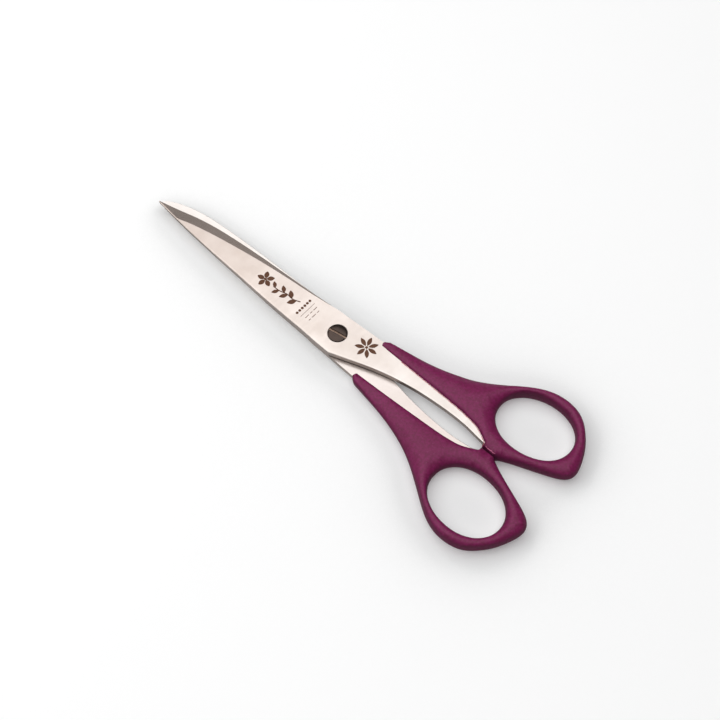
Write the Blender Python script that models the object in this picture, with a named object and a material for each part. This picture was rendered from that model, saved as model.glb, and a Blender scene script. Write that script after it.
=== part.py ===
"""Small household craft scissors: two ground steel halves on a slotted pivot screw, with moulded handles.

The part lies flat and closed. +X runs along the blades to the tips, +Z is up through the pivot. The
origin is on the pivot axis, at the centre of the flat lower end of the screw. Each half is drawn in its
own local frame: z = 0 is the plane between the blades, the steel lies above it, and the handle lies
towards -Y. The rear half is the front half's layout turned half a turn about X. Run in Blender 4.5.
"""

import math

import bmesh
import bpy
import numpy as np
from mathutils import Vector

MM = 0.001

# Driving dimensions, in millimetres.
CLEARANCE = 0.3  # the gap kept between pieces that touch
STOCK = 1.8  # thickness of the steel at the pivot
STEEL_CHAMFER = 0.3  # broken outer edges of the steel
BLADE_LENGTH = 75.6  # pivot to tip
SHOULDER = 8.0  # pivot to where the cutting edge starts
CORNER = 2.3  # the back corner of each blade, behind the pivot
TIP_THICKNESS = 0.7
EDGE_LAND = 0.12  # height of the cutting edge itself
EDGE_WIDTH = 0.02  # width of the bevel where it runs out
TIP_WIDTH = 0.3

HANDLE_FRONT = 12.5  # pivot to the front end of the plastic
HANDLE_BACK = 82.0  # pivot to the back of the rings
HANDLE_HALF_WIDTH = 29.0  # centre line to the outer side of a ring, closed
HANDLE_THICKNESS = 7.0  # at the rings
COVER_OUTSIDE = 0.95  # plastic over the outer face of the steel, at the front end
COVER_INSIDE = 1.45  # plastic under the inner face of the steel, at the front end
RING_WALL_OUT = 3.8  # plastic outside the finger hole
RING_WALL_BACK = 5.8  # plastic behind the finger hole
HOLE_LENGTH = 24.6
HOLE_INNER_EDGE = 6.2  # centre line to the finger hole
TANG_COVER = 1.6  # plastic between the tang and the finger hole
WEB_ROUNDING = 2.4  # depth over which the outer side of the handle is rounded
FINE_ROUNDING = 0.5  # the same along the steel, at the nose and at the front end
HOLE_SQUARENESS = 2.1  # 2 is an ellipse
HOLE_LEAN = 0.05  # how far the hole's outer side leans back, per mm
HOLE_TURN = 0.065  # how far the hole's back end drops, per mm

SCREW_HEAD_RADIUS = 3.0
SCREW_HEAD_HEIGHT = 0.7
SCREW_DOME = 0.2
SCREW_NECK_RADIUS = 2.0
SCREW_THREAD_RADIUS = 1.7
SLOT_WIDTH = 0.9
SLOT_DEPTH = 0.55
SLOT_TURN = math.radians(10)
TURNED_SIDES = 48
HOLE_SIDES = 56
TANG_SECTIONS = 24
ROUNDING_RAMP = 6  # outline points over which the rounding grows to its full depth
RING_ROUNDING_SHARE = 0.46  # of the ring's wall, on each side of it
SLOPE_ALLOWANCE = 1.3  # keeps the clearance where the tang's side slopes

PLANE_HEIGHT = STOCK + CLEARANCE / 2  # the plane between the blades, above the origin
RING_LENGTH = HOLE_LENGTH + RING_WALL_BACK
WEB_LENGTH = HANDLE_BACK - RING_LENGTH - HANDLE_FRONT

# Outlines. A blade point is (share of the way from shoulder to tip, y in mm). A handle or tang point is
# (station, distance from the centre line in mm). Station 0 is the front end of the plastic, 1 the front
# of the finger hole and 2 the back of the ring. The distances are drawn for the half width below, and
# stretch with HANDLE_HALF_WIDTH towards the ring.
DRAWN_HALF_WIDTH = 29.0
FULL_SECTION = 1.1  # station where the handle reaches its full thickness and spread
FRONT_EDGE = ((0, -5.95), (0.24, -5.7), (0.42, -5.2), (0.54, -4.7), (0.63, -4.1), (0.72, -3.2),
              (0.80, -2.1), (0.88, -0.75), (0.95, 0.5), (1, 1.55))
FRONT_BEVEL = ((0, -5.9), (0.14, -5.2), (0.24, -4.5), (0.42, -3.0), (0.54, -1.85), (0.63, -0.9),
               (0.72, 0.15), (0.80, 1.3), (0.88, 2.7), (0.95, 2.2), (1, 1.7))
FRONT_SPINE = ((0, 6.35), (0.24, 5.8), (0.42, 5.15), (0.63, 4.4), (0.80, 3.5), (0.92, 2.65), (1, 1.85))
REAR_EDGE = ((0, -5.95), (0.24, -5.5), (0.42, -4.85), (0.63, -4.1), (0.80, -3.2), (0.92, -2.35), (1, -1.55))
REAR_BEVEL = ((0, -5.9), (0.24, -4.2), (0.42, -2.9), (0.63, -1.5), (0.80, 0.2), (0.88, 1.6), (0.95, 0.4),
              (1, -1.4))
REAR_SPINE = ((0, 6.6), (0.2, 6.3), (0.5, 6.0), (0.65, 5.6), (0.77, 4.95), (0.83, 4.3), (0.89, 3.2),
              (0.95, 1.65), (0.98, 0.4), (1, -1.2))
SHANK_INNER = ((0, 3.0), (0.09, 1.85), (0.2, 0.65), (0.32, -0.4), (0.46, -1.3), (0.62, -1.9), (0.78, -2.2),
               (0.92, -2.1), (1.04, -1.6), (1.2, -1.1))
TANG_OUTER = ((0, -7.0), (0.44, -8.0), (0.85, -8.6), (1.02, -7.0), (1.2, -4.4))
TANG_END = 1.2
# The steel beside the pivot: (share of the way from the handle's front end to the shoulder, y in mm).
PIVOT_OUTER = ((0, -7.0), (0.37, -6.7), (0.61, -6.45), (0.9, -6.2), (1, -5.95))
BACK_CORNER = 6.7  # centre line to the back corner of the blade

TONGUE_END = ((0.01, 5.6), (0, 6.2), (0, 7.2), (0.04, 8.3))
OUTER_SIDE = ((0.04, 8.3), (0.23, 9.7), (0.44, 11.5), (0.66, 14.4), (0.85, 18.5), (1.09, 24.6), (1.27, 27.8),
              (1.46, 29.0), (1.65, 27.9), (1.77, 25.1), (1.89, 20.8), (1.965, 15.9), (2, 12.0),
              (1.965, 9.2), (1.86, 7.2), (1.68, 5.1), (1.475, 2.6), (1.36, 1.0), (1.325, 0.15))
INNER_SIDE = ((1.16, 0.15), (1.155, 1.3), (1.11, 2.1), (1.04, 3.2), (0.98, 3.9), (0.92, 4.3), (0.82, 4.7),
              (0.68, 4.95), (0.36, 5.3), (0.01, 5.6))

# Finish: colour, roughness, metallic.
FINISHES = {
    "steel": ((0.80, 0.74, 0.69, 1), 0.32, 1.0),
    "plum": ((0.19, 0.03, 0.09, 1), 0.5, 0.0),
    "dark_steel": ((0.10, 0.08, 0.07, 1), 0.4, 1.0),
}


def curve_value(knots, x):
    """Height at x of the smooth curve through knots, whose first values rise."""
    xs, ys = np.array(knots, float).T
    slopes = np.gradient(ys, xs)
    i = int(np.clip(np.searchsorted(xs, x) - 1, 0, len(xs) - 2))
    width = xs[i + 1] - xs[i]
    t = (x - xs[i]) / width
    rise = ys[i + 1] - ys[i]
    start, end = slopes[i] * width, slopes[i + 1] * width
    return ys[i] + t * start + t * t * (3 * rise - 2 * start - end) + t**3 * (start + end - 2 * rise)


def smooth_path(points, steps):
    """The smooth open path through points, with steps spans between each two of them."""
    p = [Vector(q) for q in points]
    p = [2 * p[0] - p[1], *p, 2 * p[-1] - p[-2]]
    path = []
    for a, b, c, d in zip(p, p[1:], p[2:], p[3:]):
        for t in np.arange(steps) / steps:
            path.append(0.5 * (2 * b + (c - a) * t + (2 * a - 5 * b + 4 * c - d) * t * t
                               + (3 * b - a - 3 * c + d) * t**3))
    return [*path, p[-2]]


def station_x(station):
    """X of a station along the handle: the web's stretch, then the ring's."""
    return -HANDLE_FRONT - min(station, 1) * WEB_LENGTH - max(station - 1, 0) * RING_LENGTH


def station_at(x):
    """The station of a place along the handle."""
    past_front = -HANDLE_FRONT - x
    return min(past_front, WEB_LENGTH) / WEB_LENGTH + max(past_front - WEB_LENGTH, 0) / RING_LENGTH


def towards_ring(station):
    """How far a station is from the slim front end, 0, to the full section of the ring, 1."""
    return min(max(station / FULL_SECTION, 0), 1)


def on_handle(point):
    """A handle point in mm: its place along the handle, and its distance towards -Y."""
    station, side = point
    spread = 1 + (HANDLE_HALF_WIDTH / DRAWN_HALF_WIDTH - 1) * towards_ring(station)
    return Vector((station_x(station), -side * spread))


def hole_edge(x):
    """The side of the finger hole nearest the centre line at x, or None clear of the hole."""
    outline = hole_outline(HOLE_SIDES)
    crossings = [a.y + (b.y - a.y) * (x - a.x) / (b.x - a.x)
                 for a, b in zip(outline, outline[1:] + outline[:1]) if (a.x - x) * (b.x - x) < 0]
    return max(crossings, default=None)


def tang_outer(x):
    """The hidden side of the tang at x, with cover left between it and the finger hole."""
    low = curve_value(TANG_OUTER, min(max(station_at(x), 0), TANG_END))
    hole = hole_edge(x)
    return low if hole is None else max(low, hole + TANG_COVER)


def steel_thickness(x):
    """Thickness of the steel at x: full in the tang and at the pivot, thinner towards the tip."""
    if x <= SHOULDER:
        return STOCK
    share = (x - SHOULDER) / (BLADE_LENGTH - SHOULDER)
    return STOCK + (TIP_THICKNESS - STOCK) * share**1.2


def steel_section(x, edge, bevel, spine):
    """Low side, top of the bevel and high side of the steel at x, and the height of the low side."""
    if x >= SHOULDER:
        share = (x - SHOULDER) / (BLADE_LENGTH - SHOULDER)
        high = curve_value(spine, share)
        low = min(curve_value(edge, share), high - TIP_WIDTH)
        top = min(max(curve_value(bevel, share), low + EDGE_WIDTH), high - TIP_WIDTH / 2)
        return low, top, high, EDGE_LAND
    if x > -HANDLE_FRONT:
        low = curve_value(PIVOT_OUTER, (x + HANDLE_FRONT) / (HANDLE_FRONT + SHOULDER))
    else:
        low = tang_outer(x)
    if x >= -CORNER:
        share = (x + CORNER) / (SHOULDER + CORNER)
        high = BACK_CORNER + (curve_value(spine, 0) - BACK_CORNER) * share**2
    elif x >= -HANDLE_FRONT:
        share = (x + HANDLE_FRONT) / (HANDLE_FRONT - CORNER)
        start = curve_value(SHANK_INNER, 0)
        high = start + (BACK_CORNER - start) * share
    else:
        high = curve_value(SHANK_INNER, station_at(x))
    return low, low + STEEL_CHAMFER, high, steel_thickness(x) - STEEL_CHAMFER


def steel_stations():
    """Places along X where the steel's section is taken."""
    return np.concatenate([
        np.linspace(station_x(TANG_END), -HANDLE_FRONT, 20)[:-1],
        np.linspace(-HANDLE_FRONT, -CORNER, 7)[:-1],
        np.linspace(-CORNER, SHOULDER, 6)[:-1],
        [SHOULDER],
        SHOULDER + (BLADE_LENGTH - SHOULDER) * (1 - np.linspace(0.99, 0, 28) ** 1.4),
    ])


def new_object(name, mesh, finish, parent):
    """Link an object with one finish, on its half's empty."""
    obj = bpy.data.objects.new(name, mesh)
    bpy.context.scene.collection.objects.link(obj)
    obj.parent = parent
    if finish:
        mesh.materials.append(material(finish))
    else:
        obj.hide_render = True
        obj.display_type = "WIRE"
    return obj


def material(finish):
    """The finish's material, made once."""
    found = bpy.data.materials.get(finish)
    if found:
        return found
    colour, roughness, metallic = FINISHES[finish]
    found = bpy.data.materials.new(finish)
    found.use_nodes = True
    shader = found.node_tree.nodes["Principled BSDF"]
    shader.inputs["Base Color"].default_value = colour
    shader.inputs["Roughness"].default_value = roughness
    shader.inputs["Metallic"].default_value = metallic
    return found


def mesh_of_rings(name, rings):
    """A closed body through rings of points, all of one length, with flat ends. Points are in mm."""
    mesh = bpy.data.meshes.new(name)
    bm = bmesh.new()
    rows = [[bm.verts.new(Vector(point) * MM) for point in ring] for ring in rings]
    for row, following in zip(rows, rows[1:]):
        for i in range(len(row)):
            j = (i + 1) % len(row)
            bm.faces.new((row[i], row[j], following[j], following[i]))
    bm.faces.new(rows[0])
    bm.faces.new(rows[-1])
    bmesh.ops.recalc_face_normals(bm, faces=bm.faces)
    bm.to_mesh(mesh)
    bm.free()
    return mesh


def steel_mesh(name, edge, bevel, spine):
    """One blade with its shank and tang, as sections along X."""
    floor = CLEARANCE / 2
    rings = []
    for x in steel_stations():
        low, top, high, side_height = steel_section(x, edge, bevel, spine)
        face = floor + steel_thickness(x)
        rise = min(STEEL_CHAMFER, steel_thickness(x) / 3)
        back = min(STEEL_CHAMFER, (high - top) / 2)
        rings.append([(x, low, floor), (x, low, floor + side_height), (x, top, face),
                      (x, high - back, face), (x, high, face - rise), (x, high, floor)])
    return mesh_of_rings(name, rings)


def tang_pocket_mesh(name):
    """The room that the tang takes in the plastic, with clearance all round, open on the inner side."""
    inner = CLEARANCE / 2 - CLEARANCE
    outer = CLEARANCE / 2 + STOCK + CLEARANCE
    tang_end = station_x(TANG_END)
    rings = []
    for x in np.linspace(tang_end - CLEARANCE, -HANDLE_FRONT + CLEARANCE, TANG_SECTIONS):
        within = max(x, tang_end)
        low = tang_outer(within) - SLOPE_ALLOWANCE * CLEARANCE
        high = curve_value(SHANK_INNER, max(station_at(within), 0)) + CLEARANCE
        rings.append([(x, low, inner), (x, low, outer), (x, high, outer), (x, high, inner)])
    return mesh_of_rings(name, rings)


def hole_outline(count):
    """The finger hole: a rounded oval between the named walls, in mm."""
    outer = HANDLE_HALF_WIDTH - RING_WALL_OUT
    half_length, half_width = HOLE_LENGTH / 2, (outer - HOLE_INNER_EDGE) / 2
    centre = Vector((-HANDLE_BACK + RING_WALL_BACK + half_length, -(outer + HOLE_INNER_EDGE) / 2))
    points = []
    for angle in 2 * math.pi * np.arange(count) / count:
        across, along = math.cos(angle), math.sin(angle)
        along = math.copysign(abs(along) ** (2 / HOLE_SQUARENESS), along) * half_length
        across = math.copysign(abs(across) ** (2 / HOLE_SQUARENESS), across) * half_width
        points.append(centre + Vector((along - HOLE_LEAN * across, across + HOLE_TURN * along)))
    return points


def handle_outline():
    """The outside of the handle, with the depth over which each point's edge is rounded, in mm."""
    ring_rounding = RING_ROUNDING_SHARE * RING_WALL_OUT
    outer = smooth_path([on_handle(p) for p in OUTER_SIDE], 4)[:-1]
    inner = smooth_path([on_handle(p) for p in INNER_SIDE], 3)[:-1]
    front = [on_handle(p) for p in TONGUE_END][:-1]
    depths = []
    for i, point in enumerate(outer):
        full = WEB_ROUNDING + (ring_rounding - WEB_ROUNDING) * towards_ring(station_at(point.x))
        from_end = min(1, i / ROUNDING_RAMP, (len(outer) - i) / ROUNDING_RAMP)
        depths.append(FINE_ROUNDING + (full - FINE_ROUNDING) * from_end)
    depths += [FINE_ROUNDING] * (len(inner) + len(front))
    return [*outer, *inner, *front][::-1], depths[::-1]


def inward(points):
    """Unit directions into the material, on the left of a closed run of points."""
    found = []
    for i, point in enumerate(points):
        ahead = (points[(i + 1) % len(points)] - point).normalized()
        behind = (point - points[i - 1]).normalized()
        along = (ahead + behind).normalized()
        found.append(Vector((-along.y, along.x)))
    return found


def within_wall(points, depths, others):
    """Rounding depths that leave room for the rounding on the far side of the wall."""
    return [min(depth, RING_ROUNDING_SHARE * min((point - other).length for other in others))
            for point, depth in zip(points, depths)]


def leaned(x, level):
    """Height at x of a level from -1 to 1: the front end is thinner and leans towards its own blade."""
    share = towards_ring(station_at(x))
    ramp = share * share * (3 - 2 * share)
    top = CLEARANCE / 2 + STOCK + COVER_OUTSIDE
    bottom = CLEARANCE / 2 - COVER_INSIDE
    top += (HANDLE_THICKNESS / 2 - top) * ramp
    bottom += (-HANDLE_THICKNESS / 2 - bottom) * ramp
    return (top + bottom + (top - bottom) * level) / 2


def handle_mesh(name):
    """The plastic: outline and hole with rounded edges, filled above and below."""
    outline, depths = handle_outline()
    hole = hole_outline(HOLE_SIDES)
    hole_depths = [RING_ROUNDING_SHARE * RING_WALL_OUT] * len(hole)
    loops = ((outline, within_wall(outline, depths, hole)), (hole, within_wall(hole, hole_depths, outline)))
    angles = np.radians(np.linspace(-90, 90, 8))
    bm = bmesh.new()
    rims = []
    for points, loop_depths in loops:
        directions = inward(points)
        rows = []
        for angle in angles:
            row = []
            for point, direction, depth in zip(points, directions, loop_depths):
                place = point + direction * depth * (1 - math.cos(angle))
                height = leaned(place.x, math.sin(angle))
                row.append(bm.verts.new(Vector((place.x, place.y, height)) * MM))
            rows.append(row)
        for row, above in zip(rows, rows[1:]):
            for i in range(len(row)):
                j = (i + 1) % len(row)
                bm.faces.new((row[i], row[j], above[j], above[i]))
        rims.append((rows[0], rows[-1]))
    for level in (0, 1):
        edges = []
        for rim in rims:
            row = rim[level]
            edges += [bm.edges.get((row[i], row[(i + 1) % len(row)])) for i in range(len(row))]
        bmesh.ops.triangle_fill(bm, edges=edges, use_beauty=True, use_dissolve=False)
    bmesh.ops.recalc_face_normals(bm, faces=bm.faces)
    mesh = bpy.data.meshes.new(name)
    bm.to_mesh(mesh)
    bm.free()
    return mesh


def turned_mesh(name, profile):
    """A solid of revolution about Z from (radius, height) points in mm, listed from bottom to top."""
    rings = []
    for radius, height in profile:
        rings.append([(radius * math.cos(a), radius * math.sin(a), height)
                      for a in 2 * math.pi * np.arange(TURNED_SIDES) / TURNED_SIDES])
    return mesh_of_rings(name, rings)


def box_mesh(name, size, centre):
    """A closed box of the given size, in mm."""
    x, y, z = (value / 2 for value in size)
    corners = ((x, y), (-x, y), (-x, -y), (x, -y))
    return mesh_of_rings(name, [[(a + centre[0], b + centre[1], c + centre[2]) for a, b in corners]
                                for c in (-z, z)])


def cut(obj, cutter):
    """Take the cutter out of the object with an exact Boolean."""
    modifier = obj.modifiers.new("cut_" + cutter.name, "BOOLEAN")
    modifier.operation = "DIFFERENCE"
    modifier.solver = "EXACT"
    modifier.object = cutter


def shade(obj, degrees):
    """Smooth shading, with creases kept where faces meet at more than the angle."""
    obj.data.shade_smooth()
    obj.data.set_sharp_from_angle(angle=math.radians(degrees))


def half_empty(name, flipped):
    """The empty on the pivot axis that carries one half."""
    empty = bpy.data.objects.new(name, None)
    bpy.context.scene.collection.objects.link(empty)
    empty.location = (0, 0, PLANE_HEIGHT * MM)
    if flipped:
        empty.rotation_euler = (math.pi, 0, 0)
    return empty


def make_handle(name, parent):
    """One handle, with the pocket that its tang sits in."""
    handle = new_object(name, handle_mesh(name), "plum", parent)
    cut(handle, new_object(name + "_pocket", tang_pocket_mesh(name + "_pocket"), None, parent))
    shade(handle, 35)


def make_front_blade(parent):
    """The upper steel half, counterbored for the screw's head."""
    blade = new_object("front_blade", steel_mesh("front_blade", FRONT_EDGE, FRONT_BEVEL, FRONT_SPINE),
                       "steel", parent)
    top = CLEARANCE / 2 + STOCK
    seat = top - SCREW_HEAD_HEIGHT - CLEARANCE
    neck, head = SCREW_NECK_RADIUS + CLEARANCE, SCREW_HEAD_RADIUS + CLEARANCE
    profile = ((neck, -1), (neck, seat), (head, seat), (head, top + 1))
    cut(blade, new_object("front_bore", turned_mesh("front_bore", profile), None, parent))
    shade(blade, 25)


def make_rear_blade(parent):
    """The lower steel half, which holds the screw's thread."""
    blade = new_object("rear_blade", steel_mesh("rear_blade", REAR_EDGE, REAR_BEVEL, REAR_SPINE),
                       "steel", parent)
    bore = SCREW_THREAD_RADIUS + CLEARANCE
    profile = ((bore, -1), (bore, STOCK + 2))
    cut(blade, new_object("rear_bore", turned_mesh("rear_bore", profile), None, parent))
    shade(blade, 25)


def make_screw(parent):
    """The slotted pivot screw: head in the front blade, neck, and thread in the rear blade."""
    top = CLEARANCE / 2 + STOCK
    seat = top - SCREW_HEAD_HEIGHT
    shoulder = CLEARANCE / 2
    radius, thread, neck = SCREW_HEAD_RADIUS, SCREW_THREAD_RADIUS, SCREW_NECK_RADIUS
    profile = [(thread - 0.2, -PLANE_HEIGHT), (thread, -PLANE_HEIGHT + 0.2), (thread, shoulder),
               (neck, shoulder), (neck, seat), (radius, seat), (radius, top - 0.1)]
    profile += [(radius * math.cos(a), top + SCREW_DOME * math.sin(a)) for a in np.radians((18, 36, 54, 72))]
    screw = new_object("pivot_screw", turned_mesh("pivot_screw", profile), "dark_steel", parent)
    length = 4 * radius
    slot = new_object("pivot_slot", box_mesh("pivot_slot", (length, SLOT_WIDTH, 2),
                                             (0, 0, top + SCREW_DOME - SLOT_DEPTH + 1)), None, parent)
    slot.rotation_euler = (0, 0, SLOT_TURN)
    cut(screw, slot)
    shade(screw, 30)


def main():
    """Clear the scene and build the two halves and the screw."""
    for obj in list(bpy.data.objects):
        bpy.data.objects.remove(obj)
    front = half_empty("front_half", False)
    rear = half_empty("rear_half", True)
    pivot = half_empty("pivot", False)
    make_front_blade(front)
    make_handle("front_handle", front)
    make_rear_blade(rear)
    make_handle("rear_handle", rear)
    make_screw(pivot)


main()
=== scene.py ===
"""Looks for a small pair of craft scissors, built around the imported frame.

Sizes are in millimetres until a mesh is written. Each half is drawn in its own local frame: z = 0 is the
plane between the blades, the steel lies above it and the handle lies towards -Y. The front half keeps that
layout, and the rear half is turned half a turn about X. Meshes are written in the frame of the whole part,
with every object left at the origin.
"""

import logging
import math
from collections.abc import Iterator
from contextlib import contextmanager
from dataclasses import dataclass
from enum import Enum

import bmesh
import bpy
import numpy as np
from mathutils import Matrix, Vector
from mathutils.geometry import delaunay_2d_cdt


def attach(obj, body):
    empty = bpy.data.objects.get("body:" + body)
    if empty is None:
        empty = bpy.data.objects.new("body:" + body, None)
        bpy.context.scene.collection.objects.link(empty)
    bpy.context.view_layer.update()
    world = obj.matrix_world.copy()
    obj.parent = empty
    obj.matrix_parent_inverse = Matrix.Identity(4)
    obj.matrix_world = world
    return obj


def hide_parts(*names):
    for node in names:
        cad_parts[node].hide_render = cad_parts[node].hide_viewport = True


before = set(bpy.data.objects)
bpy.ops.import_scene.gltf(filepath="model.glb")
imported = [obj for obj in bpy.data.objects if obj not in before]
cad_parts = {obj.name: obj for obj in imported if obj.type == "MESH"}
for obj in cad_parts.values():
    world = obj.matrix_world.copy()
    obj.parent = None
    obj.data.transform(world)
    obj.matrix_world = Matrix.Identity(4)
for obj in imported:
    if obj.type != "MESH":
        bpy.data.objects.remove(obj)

LOG = logging.getLogger("scissors")
MM = 0.001
SAME_PLACE = 1e-7
NOISE_SPAN = (0.3, 0.7)
TEAR_SCALE = 1400.0

Object, Material = bpy.types.Object, bpy.types.Material
Node, Socket = bpy.types.Node, bpy.types.NodeSocket
Knots = tuple[tuple[float, float], ...]
Face = tuple[int, ...]
Colour = tuple[float, float, float]
Point = tuple[float, float, float]
Feeds = dict[str | int, object]


# --- Curves and layout ---


def curve_value(knots: Knots, x: np.ndarray | float) -> np.ndarray:
    """Heights at x of the smooth curve through knots.

    Args:
        knots: (x, y) pairs whose x values rise.
        x: where the curve is read.

    Returns:
        One height for each x.
    """
    xs, ys = np.array(knots, float).T
    slopes = np.gradient(ys, xs)
    x = np.asarray(x, float)
    i = np.clip(np.searchsorted(xs, x) - 1, 0, len(xs) - 2)
    width, rise = xs[i + 1] - xs[i], ys[i + 1] - ys[i]
    t = (x - xs[i]) / width
    start, end = slopes[i] * width, slopes[i + 1] * width
    return ys[i] + t * start + t**2 * (3 * rise - 2 * start - end) + t**3 * (start + end - 2 * rise)


def smooth_path(points: np.ndarray, steps: int) -> np.ndarray:
    """The smooth open path through points, with the given number of spans between each two of them.

    Args:
        points: (n, 2) places.
        steps: spans between neighbours.

    Returns:
        (m, 2) places along the path, ends included.
    """
    p = np.vstack([2 * points[0] - points[1], points, 2 * points[-1] - points[-2]])
    t = (np.arange(steps) / steps)[:, None]
    spans = []
    for a, b, c, d in zip(p, p[1:], p[2:], p[3:]):
        spans.append(0.5 * (2 * b + (c - a) * t + (2 * a - 5 * b + 4 * c - d) * t**2
                            + (3 * b - a - 3 * c + d) * t**3))
    return np.vstack([*spans, p[-2]])


def smooth_step(share: np.ndarray | float) -> np.ndarray:
    """Eases a share from 0 to 1 in and out, and holds it outside that range."""
    share = np.clip(share, 0, 1)
    return share * share * (3 - 2 * share)


@dataclass(frozen=True)
class Layout:
    """Sizes that the steel, the plastic and the screw share."""

    clearance: float = 0.3
    stock: float = 1.8
    blade_length: float = 75.6
    shoulder: float = 8.0
    corner: float = 2.3
    tip_thickness: float = 0.7
    taper_power: float = 1.2
    handle_front: float = 12.5
    handle_back: float = 82.0
    hole_length: float = 24.6
    ring_wall_back: float = 5.8

    @property
    def plane_height(self) -> float:
        """Height of the plane between the blades in the whole part's frame."""
        return self.stock + self.clearance / 2

    @property
    def outer_height(self) -> float:
        """Height of the front blade's face in the whole part's frame."""
        return self.plane_height + self.clearance / 2 + self.stock

    @property
    def ring_length(self) -> float:
        """From the front of the finger hole to the back of the ring."""
        return self.hole_length + self.ring_wall_back

    @property
    def web_length(self) -> float:
        """From the front end of the plastic to the front of the finger hole."""
        return self.handle_back - self.ring_length - self.handle_front

    def station_x(self, station: np.ndarray) -> np.ndarray:
        """X of stations along the handle: 0 its front end, 1 the front of the hole, 2 the back."""
        return (-self.handle_front - np.minimum(station, 1) * self.web_length
                - np.maximum(station - 1, 0) * self.ring_length)

    def station_at(self, x: np.ndarray) -> np.ndarray:
        """Stations of places along the handle.

        Args:
            x: the places.

        Returns:
            Their stations.
        """
        past = -self.handle_front - x
        return (np.minimum(past, self.web_length) / self.web_length
                + np.maximum(past - self.web_length, 0) / self.ring_length)

    def steel_thickness(self, x: np.ndarray) -> np.ndarray:
        """Thickness of the steel at x: full at the pivot, thinner towards the tip."""
        share = np.clip((x - self.shoulder) / (self.blade_length - self.shoulder), 0, 1)
        return self.stock + (self.tip_thickness - self.stock) * share**self.taper_power

    def to_part(self, points: np.ndarray, turned: bool) -> np.ndarray:
        """Local points of one half, in mm, as places in the whole part's frame, in metres.

        Args:
            points: (n, 3) local points.
            turned: whether the half is turned over, as the rear one is.

        Returns:
            (n, 3) places.
        """
        signs = np.array([1, -1, -1]) if turned else np.ones(3)
        return (points * signs + [0, 0, self.plane_height]) * MM


# --- Finishes ---


class Nodes:
    """A small helper that adds, fills and joins nodes in one tree."""

    def __init__(self, tree: bpy.types.NodeTree) -> None:
        """Keep the tree that the nodes go into."""
        self.tree = tree

    def feed(self, node: Node, inputs: Feeds) -> Node:
        """Fill a node's inputs, each with a socket that is joined to it or with a plain value.

        Args:
            node: the node.
            inputs: what goes into each input, by its name or number.

        Returns:
            The same node.
        """
        for name, value in inputs.items():
            if isinstance(value, Socket):
                self.tree.links.new(value, node.inputs[name])
            else:
                node.inputs[name].default_value = value
        return node

    def add(self, kind: str, inputs: Feeds | None = None, **settings: object) -> Node:
        """Add a node, set its own properties and fill its inputs.

        Args:
            kind: the node's type name.
            inputs: what goes into each input.
            settings: properties of the node.

        Returns:
            The node.
        """
        node = self.tree.nodes.new(kind)
        for name, value in settings.items():
            setattr(node, name, value)
        return self.feed(node, inputs or {})

    def parts(self, vector: Socket) -> bpy.types.NodeOutputs:
        """The X, Y and Z sockets of a vector."""
        return self.add("ShaderNodeSeparateXYZ", {0: vector}).outputs

    def math(self, operation: str, *values: Socket | float,
             clamp: bool = False) -> Socket:
        """One arithmetic step.

        Args:
            operation: the name of the operation.
            values: a socket or a number for each input in turn.
            clamp: whether the result is held between 0 and 1.

        Returns:
            The socket of the result.
        """
        feeds = dict(enumerate(values))
        return self.add("ShaderNodeMath", feeds, operation=operation, use_clamp=clamp).outputs[0]

    def place(self, scale: Point = (1.0, 1.0, 1.0)) -> Socket:
        """Object coordinates, stretched by a factor along X, Y and Z."""
        coordinates = self.add("ShaderNodeTexCoord").outputs["Object"]
        return self.add("ShaderNodeMapping", {"Vector": coordinates, "Scale": scale}).outputs["Vector"]

    def noise(self, scale: Point | float, detail: float = 3.0, roughness: float = 0.55) -> Socket:
        """Fractal noise on Object coordinates.

        Args:
            scale: cells in a metre, the same all ways or along X, Y and Z.
            detail: how many finer layers it has.
            roughness: how strong the finer layers are.

        Returns:
            The socket of its value.
        """
        where = self.place(scale if isinstance(scale, tuple) else (scale,) * 3)
        feeds = {"Scale": 1.0, "Detail": detail, "Roughness": roughness, "Vector": where}
        return self.add("ShaderNodeTexNoise", feeds).outputs["Fac"]

    def ramp(self, value: Socket, low: float, high: float, start: float,
             end: float) -> Socket:
        """Map a value's range onto another, held at both ends.

        Args:
            value: the socket that is read.
            low: the start of its range.
            high: the end of its range.
            start: what low becomes.
            end: what high becomes.

        Returns:
            The socket of the result.
        """
        feeds = {"Value": value, "From Min": low, "From Max": high, "To Min": start, "To Max": end}
        return self.add("ShaderNodeMapRange", feeds).outputs["Result"]

    def mix(self, factor: Socket, first: Colour | Socket,
            second: Colour) -> Socket:
        """Mix two colours.

        Args:
            factor: the share of the second.
            first: a colour or the socket of one.
            second: a colour.

        Returns:
            The socket of the mixed colour.
        """
        start = first if isinstance(first, Socket) else (*first, 1)
        feeds = {"A": start, "B": (*second, 1), "Factor": factor}
        return self.add("ShaderNodeMix", feeds, data_type="RGBA").outputs["Result"]

    def bump(self, *heights: tuple[Socket, float, float]) -> Socket:
        """Chain bumps, each laid on the one before.

        Args:
            heights: (height, strength, distance) of each bump.

        Returns:
            The socket of the last normal.
        """
        below: Feeds = {}
        for height, strength, distance in heights:
            feeds = {"Strength": strength, "Distance": distance, "Height": height, **below}
            below = {"Normal": self.add("ShaderNodeBump", feeds).outputs["Normal"]}
        return below["Normal"]


def new_material(name: str) -> tuple[Material, Nodes, Node]:
    """An empty node material with its Principled shader.

    Args:
        name: the material's name.

    Returns:
        The material, its node helper and the shader node.
    """
    material = bpy.data.materials.new(name)
    material.use_nodes = True
    return material, Nodes(material.node_tree), material.node_tree.nodes["Principled BSDF"]


class Grain(Enum):
    """Which way the fine grinding lines of a steel surface run."""

    ALONG = (60.0, 2600.0, 60.0)
    ACROSS = (2800.0, 120.0, 120.0)
    UPRIGHT = (900.0, 900.0, 60.0)


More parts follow.
